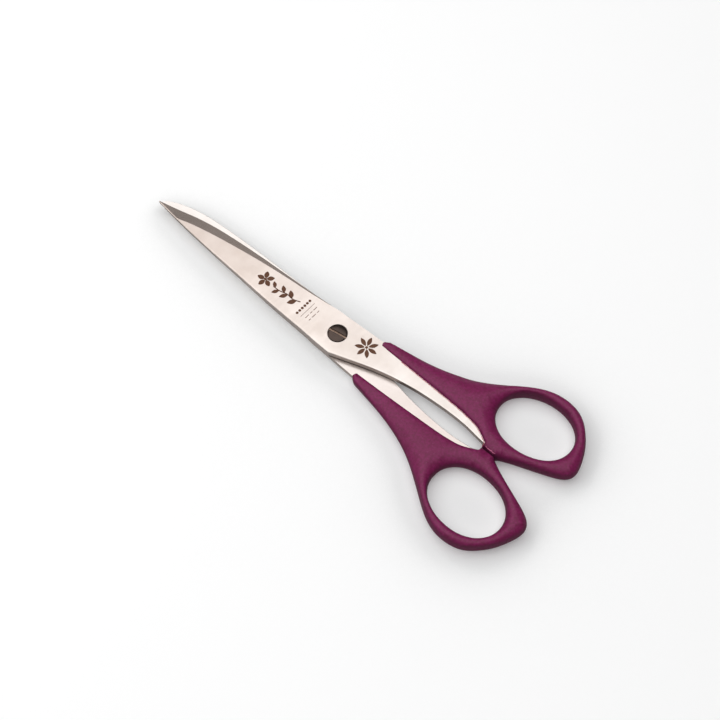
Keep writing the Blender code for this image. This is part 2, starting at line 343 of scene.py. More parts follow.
@dataclass(frozen=True)
class Finish:
    """A named material, built when it is first asked for."""

    name: str

    def make(self) -> Material:
        """Build the material once, or find it again.

        Returns:
            The material.
        """
        material = bpy.data.materials.get(self.name)
        if material is None:
            material, nodes, shader = new_material(self.name)
            self.dress(nodes, shader)
        return material

    def dress(self, nodes: Nodes, shader: Node) -> None:
        """Lay out the nodes of the finish in front of its shader."""
        raise NotImplementedError


@dataclass(frozen=True)
class SteelFinish(Finish):
    """Ground stainless steel: two tones drifting into each other, with directional grinding lines."""

    light: Colour
    dark: Colour
    roughness: float
    roughness_drift: float
    grain: Grain
    line_depth: float
    anisotropy: float = 0.0
    contrast: float = 0.3
    shank_brightness: Colour | None = None
    tip_brightness: Colour | None = None
    brightness_from: float = -0.04
    brightness_to: float = 0.032
    drift_scale: float = 110.0
    fleck_scale: float = 900.0

    def dress(self, nodes: Nodes, shader: Node) -> None:
        """Lay out the drifting tone, a brightness factor along the blade and the grinding lines.

        Args:
            nodes: the material's node helper.
            shader: its shader.
        """
        lines = nodes.noise(self.grain.value, 4.0, 0.6)
        flecks = nodes.noise(self.fleck_scale, 2.0)
        drift = nodes.ramp(nodes.noise(self.drift_scale), *NOISE_SPAN, 0.05, 0.75)
        tone = nodes.mix(nodes.math("MULTIPLY_ADD", lines, self.contrast, drift), self.dark, self.light)
        # Factor along X: a painted reflection on the blade face (lighter by the shank); darker shank end on
        # the inner face.
        if self.shank_brightness and self.tip_brightness:
            along = nodes.ramp(nodes.parts(nodes.place())["X"], self.brightness_from, self.brightness_to, 0.0, 1.0)
            brightness = nodes.mix(along, self.shank_brightness, self.tip_brightness)
            tone = nodes.add("ShaderNodeVectorMath", {0: tone, 1: brightness}, operation="MULTIPLY").outputs[0]
        smoothest, roughest = self.roughness - self.roughness_drift, self.roughness + self.roughness_drift
        nodes.feed(shader, {
            "Base Color": tone,
            "Roughness": nodes.ramp(lines, *NOISE_SPAN, smoothest, roughest),
            "Metallic": 1.0,
            "Anisotropic": self.anisotropy,
            "Normal": nodes.bump((lines, 0.15, self.line_depth), (flecks, 0.08, self.line_depth)),
        })


@dataclass(frozen=True)
class PlasticFinish(Finish):
    """Moulded plastic: fine blasted grain, slow change of tone, sheen on the broad faces, painted shade on the
    flanks.
    """

    colour: Colour
    shade: Colour
    roughness: float
    grain_depth: float
    speck: Colour = (0.42, 0.2, 0.33)
    speck_share: float = 0.07
    drift_scale: float = 70.0
    grain_scale: float = 1300.0
    pore_scale: float = 700.0
    speck_scale: float = 1500.0
    flank_roughness: float = 0.62
    flank_painted_shade: float = 0.58
    gloss: float = 0.27

    def dress(self, nodes: Nodes, shader: Node) -> None:
        """Lay out grain and tone: flanks duller than the broad faces, their colour darkened as painted shade.

        Args:
            nodes: the material's node helper.
            shader: its shader.
        """
        grain = nodes.noise(self.grain_scale, 3.5, 0.6)
        pores = nodes.noise(self.pore_scale, 2.0, 0.5)
        specks = nodes.ramp(nodes.noise(self.speck_scale, 1.0), 0.64, 0.78, 0.0, self.speck_share)
        tone = nodes.math("MULTIPLY_ADD", nodes.noise(self.drift_scale), 0.7,
                          nodes.ramp(grain, 0.36, 0.64, -0.3, 0.6), clamp=True)
        base = nodes.mix(specks, nodes.mix(tone, self.shade, self.colour), self.speck)
        facing = nodes.parts(nodes.add("ShaderNodeTexCoord").outputs["Normal"])
        flatness = nodes.math("ABSOLUTE", facing["Z"])
        sheen = nodes.ramp(flatness, 0.5, 0.97, self.flank_roughness, self.roughness - 0.08)
        # Painted shade: the base colour is scaled down where the surface faces sideways, most on the flanks.
        depth = nodes.ramp(flatness, 0.35, 0.96, self.flank_painted_shade, 1.0)
        flank_darkened_base = nodes.add("ShaderNodeVectorMath", {0: base, "Scale": depth}, operation="SCALE")
        nodes.feed(shader, {
            "Base Color": flank_darkened_base.outputs[0],
            "Roughness": nodes.math("MULTIPLY_ADD", grain, 0.14, sheen),
            "Specular IOR Level": self.gloss,
            "Normal": nodes.bump((grain, 0.35, self.grain_depth), (pores, 0.2, self.grain_depth)),
        })


@dataclass(frozen=True)
class EtchFinish(Finish):
    """Laser-darkened steel: matt brown with a faint speckle."""

    colour: Colour
    edge: Colour
    speckle_scale: float = 3200.0
    smoothest: float = 0.55
    roughest: float = 0.7
    gloss: float = 0.2
    depth: float = 0.00001

    def dress(self, nodes: Nodes, shader: Node) -> None:
        """Lay out the speckle.

        Args:
            nodes: the material's node helper.
            shader: its shader.
        """
        speckle = nodes.noise(self.speckle_scale, 2.0)
        nodes.feed(shader, {
            "Base Color": nodes.mix(nodes.ramp(speckle, 0.35, 0.7, 0.0, 1.0), self.colour, self.edge),
            "Roughness": nodes.ramp(speckle, *NOISE_SPAN, self.smoothest, self.roughest),
            "Specular IOR Level": self.gloss,
            "Normal": nodes.bump((speckle, 0.2, self.depth)),
        })


# The blade face carries a painted reflection: lighter by the shank, darker towards the tip.
FACE_STEEL = SteelFinish("satin_blade_face", (0.625, 0.555, 0.52), (0.495, 0.42, 0.38), 0.34, 0.05,
                         Grain.ACROSS, 0.000006, 0.3, 0.25, (0.98, 1.03, 1.05), (0.9, 0.895, 0.885))
INNER_STEEL = SteelFinish("fine_ground_inner_face", (0.64, 0.59, 0.565), (0.54, 0.49, 0.46), 0.3, 0.02,
                          Grain.ACROSS, 0.000001, 0.3, 0.12, (0.83, 0.8, 0.79), (0.95, 0.965, 0.97))
BEVEL_STEEL = SteelFinish("ground_blade_bevel", (0.63, 0.53, 0.475), (0.55, 0.455, 0.41), 0.26, 0.01,
                          Grain.ACROSS, 0.0000005, 0.0, 0.12)
# Blade sides and bore walls: duller cut steel, darkened further as painted shade.
DULL_SIDE_STEEL_PAINTED_SHADE = SteelFinish("blade_side_dull_painted_shade", (0.34, 0.285, 0.26), (0.24, 0.2, 0.18), 0.4, 0.06,
                         Grain.UPRIGHT, 0.00001)
SCREW_STEEL = SteelFinish("browned_screw_steel", (0.082, 0.059, 0.049), (0.024, 0.0195, 0.019), 0.28, 0.05,
                          Grain.ALONG, 0.00001)
# Slot floor: a lighter brown, a painted glint along the slot's lower lip.
SLOT_FLOOR_PAINTED_GLINT = SteelFinish("slot_floor_painted_glint", (0.36, 0.25, 0.19), (0.2, 0.14, 0.11), 0.6, 0.04, Grain.ALONG,
                         0.000004)
PLUM = PlasticFinish("plum_moulded_plastic", (0.184, 0.0065, 0.075), (0.124, 0.003, 0.044), 0.44, 0.00004)
# Edge film: a bright red, painted light standing for light showing through the thin plastic.
FILM_PAINTED_LIGHT = PlasticFinish("thin_film_painted_light", (0.62, 0.03, 0.12), (0.45, 0.015, 0.07), 0.4, 0.00001)
# Nose flash: light pink, a painted highlight along the edges where the handles meet.
FLASH_PAINTED_HIGHLIGHT = PlasticFinish("nose_flash_painted_highlight", (0.62, 0.17, 0.3), (0.42, 0.08, 0.17), 0.5, 0.00003)
ETCH = EtchFinish("etched_brown", (0.095, 0.039, 0.021), (0.135, 0.062, 0.036))


# --- Meshes ---


def linked(name: str, data: bpy.types.ID) -> Object:
    """A new object in the scene that shows this mesh, light or camera.

    Args:
        name: the object's name.
        data: what it shows.

    Returns:
        The object.
    """
    obj = bpy.data.objects.new(name, data)
    bpy.context.scene.collection.objects.link(obj)
    return obj


@contextmanager
def edited(mesh: bpy.types.Mesh) -> Iterator[bmesh.types.BMesh]:
    """Open a mesh for editing, and write it back at the end.

    Args:
        mesh: the mesh.

    Yields:
        The mesh in its editable form.
    """
    bm = bmesh.new()
    bm.from_mesh(mesh)
    yield bm
    bm.to_mesh(mesh)
    bm.free()


def make_object(name: str, vertices: np.ndarray, faces: list[Face], finishes: list[Finish],
                zones: list[int] | None = None) -> Object:
    """Link a mesh object with outward faces and its finishes.

    Args:
        name: the object's name.
        vertices: (n, 3) places in metres.
        faces: corner numbers of each face.
        finishes: the finishes of its material slots.
        zones: the slot of each face, or None for the first.

    Returns:
        The object.
    """
    mesh = bpy.data.meshes.new(name)
    mesh.from_pydata([tuple(v) for v in vertices], [], faces)
    if zones is not None:
        mesh.polygons.foreach_set("material_index", zones)
    with edited(mesh) as bm:
        bmesh.ops.remove_doubles(bm, verts=bm.verts, dist=SAME_PLACE)
        bmesh.ops.recalc_face_normals(bm, faces=bm.faces)
    for finish in finishes:
        mesh.materials.append(finish.make())
    return linked(name, mesh)


def crease(obj: Object, degrees: float, between_zones: bool = False) -> None:
    """Smooth shading, with hard edges at sharp angles and, if asked, between material zones.

    Args:
        obj: the object.
        degrees: the smallest angle that stays hard.
        between_zones: whether an edge between two finishes is hard too.
    """
    with edited(obj.data) as bm:
        for face in bm.faces:
            face.smooth = True
        for edge in bm.edges:
            sides = edge.link_faces
            hard = len(sides) == 2 and edge.calc_face_angle(0.0) > math.radians(degrees)
            if between_zones and len(sides) == 2 and sides[0].material_index != sides[1].material_index:
                hard = True
            edge.smooth = not hard


def cut_away(obj: Object, cutter: Object) -> None:
    """Take the cutter out of the object's mesh and remove the cutter.

    Args:
        obj: the object.
        cutter: a closed mesh with finishes of its own.
    """
    modifier = obj.modifiers.new("cut", "BOOLEAN")
    modifier.operation = "DIFFERENCE"
    modifier.solver = "EXACT"
    modifier.material_mode = "TRANSFER"
    modifier.object = cutter
    applied(obj)
    bpy.data.objects.remove(cutter)


def merge_near(obj: Object, gap: float) -> None:
    """Join points that stand closer than the gap in mm, which a cut leaves beside each other."""
    with edited(obj.data) as bm:
        bmesh.ops.remove_doubles(bm, verts=bm.verts, dist=gap * MM)


def applied(obj: Object) -> Object:
    """Swap the object's mesh for what its modifiers make of it, and drop them.

    Args:
        obj: the object.

    Returns:
        The same object.
    """
    bpy.context.view_layer.update()
    graph = bpy.context.evaluated_depsgraph_get()
    mesh = bpy.data.meshes.new_from_object(obj.evaluated_get(graph), preserve_all_data_layers=True,
                                           depsgraph=graph)
    obj.modifiers.clear()
    obj.data = mesh
    mesh.name = obj.name
    return obj


def bands(rows: int, around: int) -> list[Face]:
    """The faces between closed rows of points that follow each other.

    Args:
        rows: how many rows there are.
        around: how many points each has.

    Returns:
        The corner numbers of each face.
    """
    return [(a + i, a + (i + 1) % around, a + around + (i + 1) % around, a + around + i)
            for a in range(0, (rows - 1) * around, around) for i in range(around)]


def turned_object(name: str, profile: list[tuple[float, float]], sides: int,
                  finish: Finish) -> Object:
    """A solid of revolution about Z, with closed poles.

    Args:
        name: the object's name.
        profile: (radius, height) in mm, from the bottom to the top.
        sides: faces round the axis.
        finish: its finish.

    Returns:
        The object.
    """
    angles = 2 * math.pi * np.arange(sides) / sides
    rings = [np.column_stack([r * np.cos(angles), r * np.sin(angles), np.full(sides, z)]) for r, z in profile]
    vertices = np.vstack([*rings, [[0, 0, profile[0][1]], [0, 0, profile[-1][1]]]]) * MM
    faces = bands(len(profile), sides)
    bottom, top, last = len(vertices) - 2, len(vertices) - 1, (len(profile) - 1) * sides
    for i in range(sides):
        j = (i + 1) % sides
        faces += [(bottom, j, i), (top, last + i, last + j)]
    return make_object(name, vertices, faces, [finish])


# --- Blades ---


class Zone(Enum):
    """Surfaces of a blade that have a finish of their own."""

    FACE = 0
    BEVEL = 1
    SIDE = 2
    INNER = 3


@dataclass(frozen=True)
class Blade:
    """One steel half: blade, shank and the tang inside the plastic."""

    name: str
    node: str
    body: str
    turned: bool
    edge: Knots
    bevel: Knots
    spine: Knots
    layout: Layout = Layout()
    edge_land: float = 0.08
    grind_angle: float = math.radians(21)
    narrow_face: float = 0.42
    corner_round: float = 0.22
    hollow: float = 0.06
    hollow_run: float = 12.0
    pitch: float = 0.45
    least_pitch: float = 0.03
    tip_reach: float = 6.0
    run_out: float = 1.2
    pivot_outer: Knots = ((0, -7.0), (0.37, -6.7), (0.61, -6.45), (0.9, -6.2), (1, -5.95))
    back_corner: float = 6.7
    shank_inner: Knots = ((0, 3.0), (0.09, 1.85), (0.2, 0.65), (0.32, -0.4), (0.46, -1.3), (0.62, -1.9),
                          (0.78, -2.2), (0.92, -2.1), (1.04, -1.6), (1.2, -1.1))
    tang_outer: Knots = ((0, -7.0), (0.44, -8.0), (0.85, -8.6), (1.02, -7.0), (1.2, -4.4))
    tang_end: float = 1.2
    hole_radius: float = 2.3
    seat_radius: float = 3.12
    seat_depth: float = 0.32
    screw_room: bool = False
    least_blade: float = 0.3
    least_bevel: float = 0.05
    least_face: float = 0.12
    bevel_shares: tuple[float, ...] = (0.2, 0.4, 0.6, 0.8)
    bevel_sag: float = 0.02
    face_shares: tuple[float, ...] = (0.02, 0.25, 0.5, 0.75, 0.94)
    inner_shares: tuple[float, ...] = (0.9, 0.75, 0.5, 0.25, 0.1)
    inner_bevel: float = 0.1
    bore_bevel: float = 0.1
    bore_sides: int = 96
    hard_angle: float = 32.0

    def plan(self, x: np.ndarray) -> tuple[np.ndarray, np.ndarray, np.ndarray]:
        """Low side, top of the bevel and high side of the steel.

        Args:
            x: places along the half.

        Returns:
            Three rows of y values in mm.
        """
        lay = self.layout
        share = (x - lay.shoulder) / (lay.blade_length - lay.shoulder)
        on_blade = np.clip(share, 0, 1)
        high = curve_value(self.spine, on_blade)
        low = np.minimum(curve_value(self.edge, on_blade), high - self.least_blade)
        top = np.clip(curve_value(self.bevel, on_blade), low + self.least_bevel, high - self.least_face)
        by_pivot = np.clip((x + lay.handle_front) / (lay.handle_front + lay.shoulder), 0, 1)
        station = np.clip(lay.station_at(x), 0, self.tang_end)
        side = np.where(x > -lay.handle_front, curve_value(self.pivot_outer, by_pivot),
                        curve_value(self.tang_outer, station))
        rise = np.clip((x + lay.corner) / (lay.shoulder + lay.corner), 0, 1)
        shoulder_high = curve_value(self.spine, 0.0)
        near = self.back_corner + (shoulder_high - self.back_corner) * rise**2
        start = curve_value(self.shank_inner, 0.0)
        slope = np.clip((x + lay.handle_front) / (lay.handle_front - lay.corner), 0, 1)
        shank = np.where(x > -lay.handle_front, start + (self.back_corner - start) * slope,
                         curve_value(self.shank_inner, station))
        back = np.where(x >= -lay.corner, near, shank)
        before = share < 0
        return (np.where(before, side, low), np.where(before, side + self.least_bevel, top),
                np.where(before, back, high))

    def stations(self) -> np.ndarray:
        """Places along X where a section is taken, closer together at corners and at the tip.

        Returns:
            Rising x values in mm.
        """
        lay = self.layout
        tang = float(lay.station_x(np.array(self.tang_end)))
        spots = [np.arange(tang, lay.blade_length - self.tip_reach, self.pitch),
                 lay.blade_length - self.tip_reach * (1 - np.linspace(0, 1, 40) ** 0.8) * 0.995,
                 np.array([-lay.handle_front, -lay.corner, lay.shoulder]),
                 lay.shoulder + np.linspace(-self.run_out, self.run_out / 2, 10),
                 -lay.corner + np.linspace(-0.8, 0.8, 9)]
        x = np.unique(np.round(np.concatenate(spots), 3))
        return x[np.concatenate([[True], np.diff(x) > self.least_pitch])]

    def rows(self) -> tuple[np.ndarray, list[Zone]]:
        """Sections round the steel at each station, and the zone of each strip between their points.

        Returns:
            (stations, points, 3) local places in mm, and one zone for each point's strip.
        """
        lay = self.layout
        x = self.stations()
        low, top, high = self.plan(x)
        floor = lay.clearance / 2
        thick = lay.steel_thickness(x)
        face = floor + thick
        width = high - low
        blade = smooth_step((x - lay.shoulder + self.run_out) / self.run_out)
        drop = np.minimum(thick - self.edge_land, (top - low) * math.tan(self.grind_angle))
        side = (thick - self.corner_round) * (1 - blade) + (thick - drop) * blade
        bend = np.minimum(self.corner_round, np.minimum(width * 0.25, thick * 0.3))
        dip = self.hollow * smooth_step((x - lay.shoulder) / self.hollow_run) * np.minimum(1, width / 6)
        strips = [(low, floor + 0 * x, Zone.SIDE), (low, floor + side, Zone.BEVEL)]
        for share in self.bevel_shares:
            sag = 4 * share * (1 - share) * self.bevel_sag * blade * np.minimum(1, (top - low) / 2)
            strips.append((low + (top - low) * share, floor + side + (thick - side) * share - sag, Zone.BEVEL))
        strips.append((top, face, Zone.FACE))
        for share in self.face_shares:
            strips.append((top + (high - bend - top) * share, face, Zone.FACE))
        for angle in np.radians((0, 22.5, 45, 67.5)):
            strips.append((high - bend + bend * math.sin(angle), face - bend + bend * math.cos(angle),
                           Zone.FACE))
        foot = np.minimum(self.inner_bevel, bend)
        strips += [(high, face - bend, Zone.SIDE), (high, floor + foot, Zone.SIDE),
                   (high - foot, floor + 0 * x, Zone.INNER)]
        for share in self.inner_shares:
            level = floor + dip * 4 * share * (1 - share)
            strips.append((low + (high - foot - low) * share, level, Zone.INNER))
        points = np.stack([np.column_stack([x, y, z]) for y, z, _ in strips], axis=1)
        return points, [zone for _, _, zone in strips]

    def build(self) -> Object:
        """Make the steel, sink the screw's seat or hole into it and dress its surfaces.

        Returns:
            The finished half.
        """
        points, zones = self.rows()
        _, top, high = self.plan(self.stations())
        all_ground = high - top < self.narrow_face
        count, around = points.shape[:2]
        ends = [tuple(range(around)), tuple((count - 1) * around + i for i in range(around))]
        slots = [Zone.BEVEL.value if ground and zone is Zone.FACE else zone.value
                 for ground in all_ground[:-1] for zone in zones]
        obj = make_object(self.name, self.layout.to_part(points.reshape(-1, 3), self.turned),
                          bands(count, around) + ends, [FACE_STEEL, BEVEL_STEEL, DULL_SIDE_STEEL_PAINTED_SHADE, INNER_STEEL],
                          slots + [Zone.SIDE.value] * len(ends))
        cut_away(obj, self.bore())
        crease(obj, self.hard_angle, between_zones=True)
        return obj

    def bore(self) -> Object:
        """The turned cutter for this half's hole, with a broken mouth and, in front, the head's seat.

        Returns:
            The cutter.
        """
        lay = self.layout
        plane, outer, hole = lay.plane_height, lay.outer_height, self.hole_radius
        if self.screw_room:
            seat, mouth = outer - self.seat_depth, self.seat_radius + 0.12
            profile = [(hole, plane - 1), (hole, seat), (self.seat_radius, seat),
                       (self.seat_radius, outer - 0.05), (mouth, outer + 0.07), (mouth, outer + 1)]
        else:
            mouth = hole + self.bore_bevel
            profile = [(mouth, -1), (mouth, 0.0), (hole, self.bore_bevel), (hole, plane + 0.1)]
        return turned_object(self.name + "_bore", profile, self.bore_sides, DULL_SIDE_STEEL_PAINTED_SHADE)

    def attach(self, obj: Object) -> None:
        """Put the blade on its body in place of its node.

        Args:
            obj: the finished half.
        """
        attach(obj, self.body)
        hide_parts(self.node)


FRONT_BLADE = Blade(
    name="front_blade_ground",
    node="front_blade",
    body="front_half",
    turned=False,
    edge=((0, -5.95), (0.12, -5.5), (0.24, -5.25), (0.42, -4.85), (0.54, -4.45), (0.63, -4.0), (0.72, -3.2),
          (0.80, -2.15), (0.88, -0.75), (0.95, 0.5), (1, 1.55)),
    bevel=((0, -5.85), (0.12, -4.95), (0.24, -4.3), (0.42, -3.05), (0.54, -1.95), (0.63, -1.0), (0.72, 0.1),
           (0.80, 1.3), (0.88, 2.7), (0.95, 2.2), (1, 1.7)),
    spine=((0, 6.35), (0.24, 5.77), (0.42, 5.05), (0.63, 4.2), (0.80, 3.27), (0.92, 2.4), (1, 1.75)),
    screw_room=True,
)
REAR_BLADE = Blade(
    name="rear_blade_ground",
    node="rear_blade",
    body="rear_half",
    turned=True,
    edge=((0, -5.95), (0.24, -5.5), (0.42, -4.85), (0.63, -4.1), (0.80, -3.2), (0.92, -2.35), (1, -1.55)),
    bevel=((0, -5.9), (0.24, -4.2), (0.42, -2.9), (0.63, -1.5), (0.80, 0.2), (0.88, 1.6), (0.95, 0.4),
           (1, -1.4)),
    spine=((0, 6.6), (0.2, 6.3), (0.5, 6.0), (0.65, 5.6), (0.77, 4.95), (0.83, 4.3), (0.89, 3.2), (0.95, 1.65),
           (0.98, 0.4), (1, -1.2)),
    hole_radius=2.02,
)


# --- Handles ---


@dataclass(frozen=True)
class Loop:
    """A closed run of edge points with the rounding and the upright share of the wall at each."""

    points: np.ndarray
    depths: np.ndarray
    upright: np.ndarray

    def inward(self) -> np.ndarray:
        """Unit directions into the material, on the left of the run.

        Returns:
            One direction for each point.
        """
        ahead = np.roll(self.points, -1, axis=0) - self.points
        behind = self.points - np.roll(self.points, 1, axis=0)
        along = (ahead / np.linalg.norm(ahead, axis=1)[:, None]
                 + behind / np.linalg.norm(behind, axis=1)[:, None])
        along /= np.linalg.norm(along, axis=1)[:, None]
        return np.column_stack([-along[:, 1], along[:, 0]])

    def nearest(self, places: np.ndarray) -> tuple[np.ndarray, np.ndarray, np.ndarray]:
        """Distance from each place to the run, with the rounding and upright share there.

        Args:
            places: (n, 2) places.

        Returns:
            Three arrays of n values.
        """
        start = self.points
        span = np.roll(start, -1, axis=0) - start
        length2 = (span**2).sum(1)
        distance = np.empty(len(places))
        depth = np.empty(len(places))
        upright = np.empty(len(places))
        following = np.roll(self.depths, -1), np.roll(self.upright, -1)
        for i, place in enumerate(places):
            along = np.clip(((place - start) * span).sum(1) / length2, 0, 1)
            gap = np.linalg.norm(place - start - along[:, None] * span, axis=1)
            k = int(gap.argmin())
            distance[i] = gap[k]
            depth[i] = self.depths[k] + (following[0][k] - self.depths[k]) * along[k]
            upright[i] = self.upright[k] + (following[1][k] - self.upright[k]) * along[k]
        return distance, depth, upright


@dataclass(frozen=True)
class Handle:
    """One moulded handle: a web that grows out of the shank and a ring for the fingers."""

    name: str
    node: str
    body: str
    turned: bool
    layout: Layout = Layout()
    half_width: float = 29.0
    thickness: float = 7.0
    cover_outside: float = 0.95
    cover_inside: float = 1.45
    wall_out: float = 3.8
    hole_inner_edge: float = 6.2
    web_round: float = 3.8
    fine_round: float = 1.35
    hole_front_round: float = 4.6
    fullness: float = 0.26
    ring_share: float = 0.49
    ring_upright: float = 0.16
    end_upright: float = 0.5
    squareness: float = 2.1
    lean: float = 0.05
    turn: float = 0.065
    full_section: float = 1.1
    crown: float = 0.12
    soft_rounds: int = 40
    outline_rounds: int = 26
    spacing: float = 0.62
    hole_points: int = 132
    hole_round: float = 1.9
    held_points: int = 9
    blend_points: int = 16
    thin_from: float = 10.0
    thin_to: float = 15.0
    crown_reach: float = 7.0
    cover_angles: tuple[float, ...] = (20, 33, 45, 57, 68, 79, 90)
    least_gap: float = 0.075
    hard_angle: float = 48.0
    front_end: Knots = ((0.01, 5.6), (0, 6.2), (0, 7.2), (0.04, 8.3))
    outer_side: Knots = ((0.04, 8.3), (0.23, 9.7), (0.44, 11.5), (0.66, 14.4), (0.85, 18.5), (1.09, 24.6),
                         (1.27, 27.8), (1.46, 29.0), (1.65, 27.9), (1.77, 25.1), (1.89, 20.8), (1.965, 15.9),
                         (2, 12.0), (1.965, 9.2), (1.86, 7.2), (1.68, 5.1), (1.475, 2.6), (1.37, 1.05),
                         (1.33, 0.4), (1.3, 0.15))
    inner_side: Knots = ((1.16, 0.15), (1.155, 1.3), (1.11, 2.1), (1.04, 3.2), (0.98, 3.9), (0.92, 4.3),
                         (0.82, 4.7), (0.68, 4.95), (0.36, 5.3), (0.01, 5.6))

    def on_handle(self, knots: Knots) -> np.ndarray:
        """Stations and distances as local places."""
        table = np.array(knots, float)
        return np.column_stack([self.layout.station_x(table[:, 0]), -table[:, 1]])

    def hole(self) -> Loop:
        """The edge of the finger hole, rounded over a wider band at its front.

        Returns:
            The closed run of its edge.
        """
        outer = self.half_width - self.wall_out
        half_length, half_width = self.layout.hole_length / 2, (outer - self.hole_inner_edge) / 2
        centre = np.array([-self.layout.handle_back + self.layout.ring_wall_back + half_length,
                           -(outer + self.hole_inner_edge) / 2])
        angles = 2 * math.pi * np.arange(self.hole_points) / self.hole_points
        across, along = np.cos(angles), np.sin(angles)
        power = 2 / self.squareness
        along = np.copysign(np.abs(along) ** power, along) * half_length
        across = np.copysign(np.abs(across) ** power, across) * half_width
        points = centre + np.column_stack([along - self.lean * across, across + self.turn * along])
        front = smooth_step((along / half_length - 0.35) / 0.55)
        depths = self.hole_round + (self.hole_front_round - self.hole_round) * front
        return Loop(points, depths, np.full(len(points), self.ring_upright))

    def outer_run(self) -> np.ndarray:
        """The outer side from the front end round the ring to the nose, evened out between its ends.

        Returns:
            (n, 2) local places.
        """
        points = smooth_path(self.on_handle(self.outer_side), 9)
        index = np.arange(len(points))
        free = np.minimum(1, np.minimum(index, index[::-1]) / self.held_points)[:, None]
        for _ in range(self.outline_rounds):
            mean = (np.roll(points, 1, axis=0) + np.roll(points, -1, axis=0)) / 2
            points = points + (mean - points) * 0.5 * free
        return points

    def outline(self) -> Loop:
        """The outside of the handle, counter-clockwise, crisp beside the steel and round elsewhere.

        Returns:
            The closed run of its edge.
        """
        outer = self.outer_run()
        inner = smooth_path(self.on_handle(self.inner_side), 7)
        front = smooth_path(self.on_handle(self.front_end), 4)[1:-1]
        index = np.arange(len(outer))
        from_end = smooth_step(np.minimum(index, index[::-1]) / self.blend_points)
        towards = smooth_step(self.layout.station_at(outer[:, 0]) / self.full_section)
        full = self.web_round + (self.ring_share * self.wall_out - self.web_round) * towards
        by_steel = len(inner) + len(front)
        rows = []
        for fine, wide in ((self.fine_round, full), (self.end_upright, self.ring_upright)):
            rows.append(np.concatenate([fine + (wide - fine) * from_end, np.full(by_steel, fine)])[::-1])
        return Loop(np.vstack([outer, inner, front])[::-1], *rows)

    def edges(self) -> tuple[Loop, Loop]:
        """Outline and hole, with roundings that meet in the middle of the ring's wall.

        Returns:
            The two closed runs.
        """
        outline, hole = self.outline(), self.hole()
        limits = []
        for loop, other in ((outline, hole), (hole, outline)):
            wall = other.nearest(loop.points)[0]
            limits.append(Loop(loop.points, np.minimum(loop.depths, self.ring_share * wall), loop.upright))
        widened = []
        for loop, other in zip(limits, limits[::-1]):
            wall, far_depth, _ = other.nearest(loop.points)
            thin = smooth_step((self.thin_to - wall) / (self.thin_to - self.thin_from))
            share = smooth_step((loop.depths - self.fine_round) / 1.2)
            widest = loop.depths + (self.ring_share * wall - loop.depths) * share
            depths = loop.depths + (np.maximum(widest, loop.depths) - loop.depths) * thin
            widened.append(Loop(loop.points, depths, loop.upright))
        return widened[0], widened[1]

    def levels(self, places: np.ndarray, loops: tuple[Loop, Loop]) -> np.ndarray:
        """How high each place stands between the middle, 0, and the full thickness, 1.

        Args:
            places: (n, 2) places.
            loops: outline and hole.

        Returns:
            n levels.
        """
        level = np.ones(len(places))
        for loop in loops:
            distance, depth, upright = loop.nearest(places)
            round_part = np.clip(1 - (1 - np.minimum(distance / depth, 1)) ** 2, 0, 1) ** (1 - self.fullness)
            level *= upright + (1 - upright) * round_part
        near_outline = loops[0].nearest(places)[0]
        return level * (1 + self.crown * (smooth_step(near_outline / self.crown_reach) - 1))

    def softened(self, level: np.ndarray, places: np.ndarray, triangles: np.ndarray,
                 loops: tuple[Loop, Loop]) -> np.ndarray:
        """Even out the ridges where roundings meet, and leave the skin near the edges as it is.

        Args:
            level: the level of each place.
            places: (n, 2) places.
            triangles: their triangles.
            loops: outline and hole.

        Returns:
            The smoothed levels.
        """
        near = np.minimum(loops[0].nearest(places)[0], loops[1].nearest(places)[0])
        freedom = smooth_step((near - 0.35) / 0.9)
        near_end, far_end = np.vstack([sides_of(triangles), sides_of(triangles)[:, ::-1]]).T
        count = np.maximum(np.bincount(near_end, minlength=len(level)), 1)
        for _ in range(self.soft_rounds):
            mean = np.bincount(near_end, weights=level[far_end], minlength=len(level)) / count
            level = level + (mean - level) * 0.5 * freedom
        return level

    def leaned(self, x: np.ndarray, level: np.ndarray) -> np.ndarray:
        """Local height of a level: the front end is thinner and leans towards its own blade.

        Args:
            x: places along the handle.
            level: -1 at the bottom to 1 at the top.

        Returns:
            The heights.
        """
        lay = self.layout
        ramp = smooth_step(lay.station_at(x) / self.full_section)
        top = lay.clearance / 2 + lay.stock + self.cover_outside
        bottom = lay.clearance / 2 - self.cover_inside
        top = top + (self.thickness / 2 - top) * ramp
        bottom = bottom + (-self.thickness / 2 - bottom) * ramp
        return (top + bottom + (top - bottom) * level) / 2

    def cover_points(self, loops: tuple[Loop, Loop]) -> np.ndarray:
        """Places inside the edges that carry the skin: rows along each edge and a spread between them.

        Args:
            loops: outline and hole.

        Returns:
            (n, 2) places.
        """
        found = []
        for loop in loops:
            direction = loop.inward()
            for angle in np.radians(self.cover_angles):
                offset = loop.depths * (1 - math.cos(angle))
                row = loop.points + direction * offset[:, None]
                near = np.minimum(loops[0].nearest(row)[0], loops[1].nearest(row)[0])
                found.append(row[near > 0.93 * offset])
        low, high = loops[0].points.min(0), loops[0].points.max(0)
        xs = np.arange(low[0], high[0], self.spacing)
        ys = np.arange(low[1], high[1], self.spacing * math.sqrt(3) / 2)
        grid = np.array([(x + (k % 2) * self.spacing / 2, y) for k, y in enumerate(ys) for x in xs])
        grid = grid[inside(grid, loops[0].points) & ~inside(grid, loops[1].points)]
        for loop in loops:
            distance, depth, _ = loop.nearest(grid)
            grid = grid[distance > depth + 0.25 * self.spacing]
        return np.vstack([thinned(np.vstack(found), self.least_gap), grid])

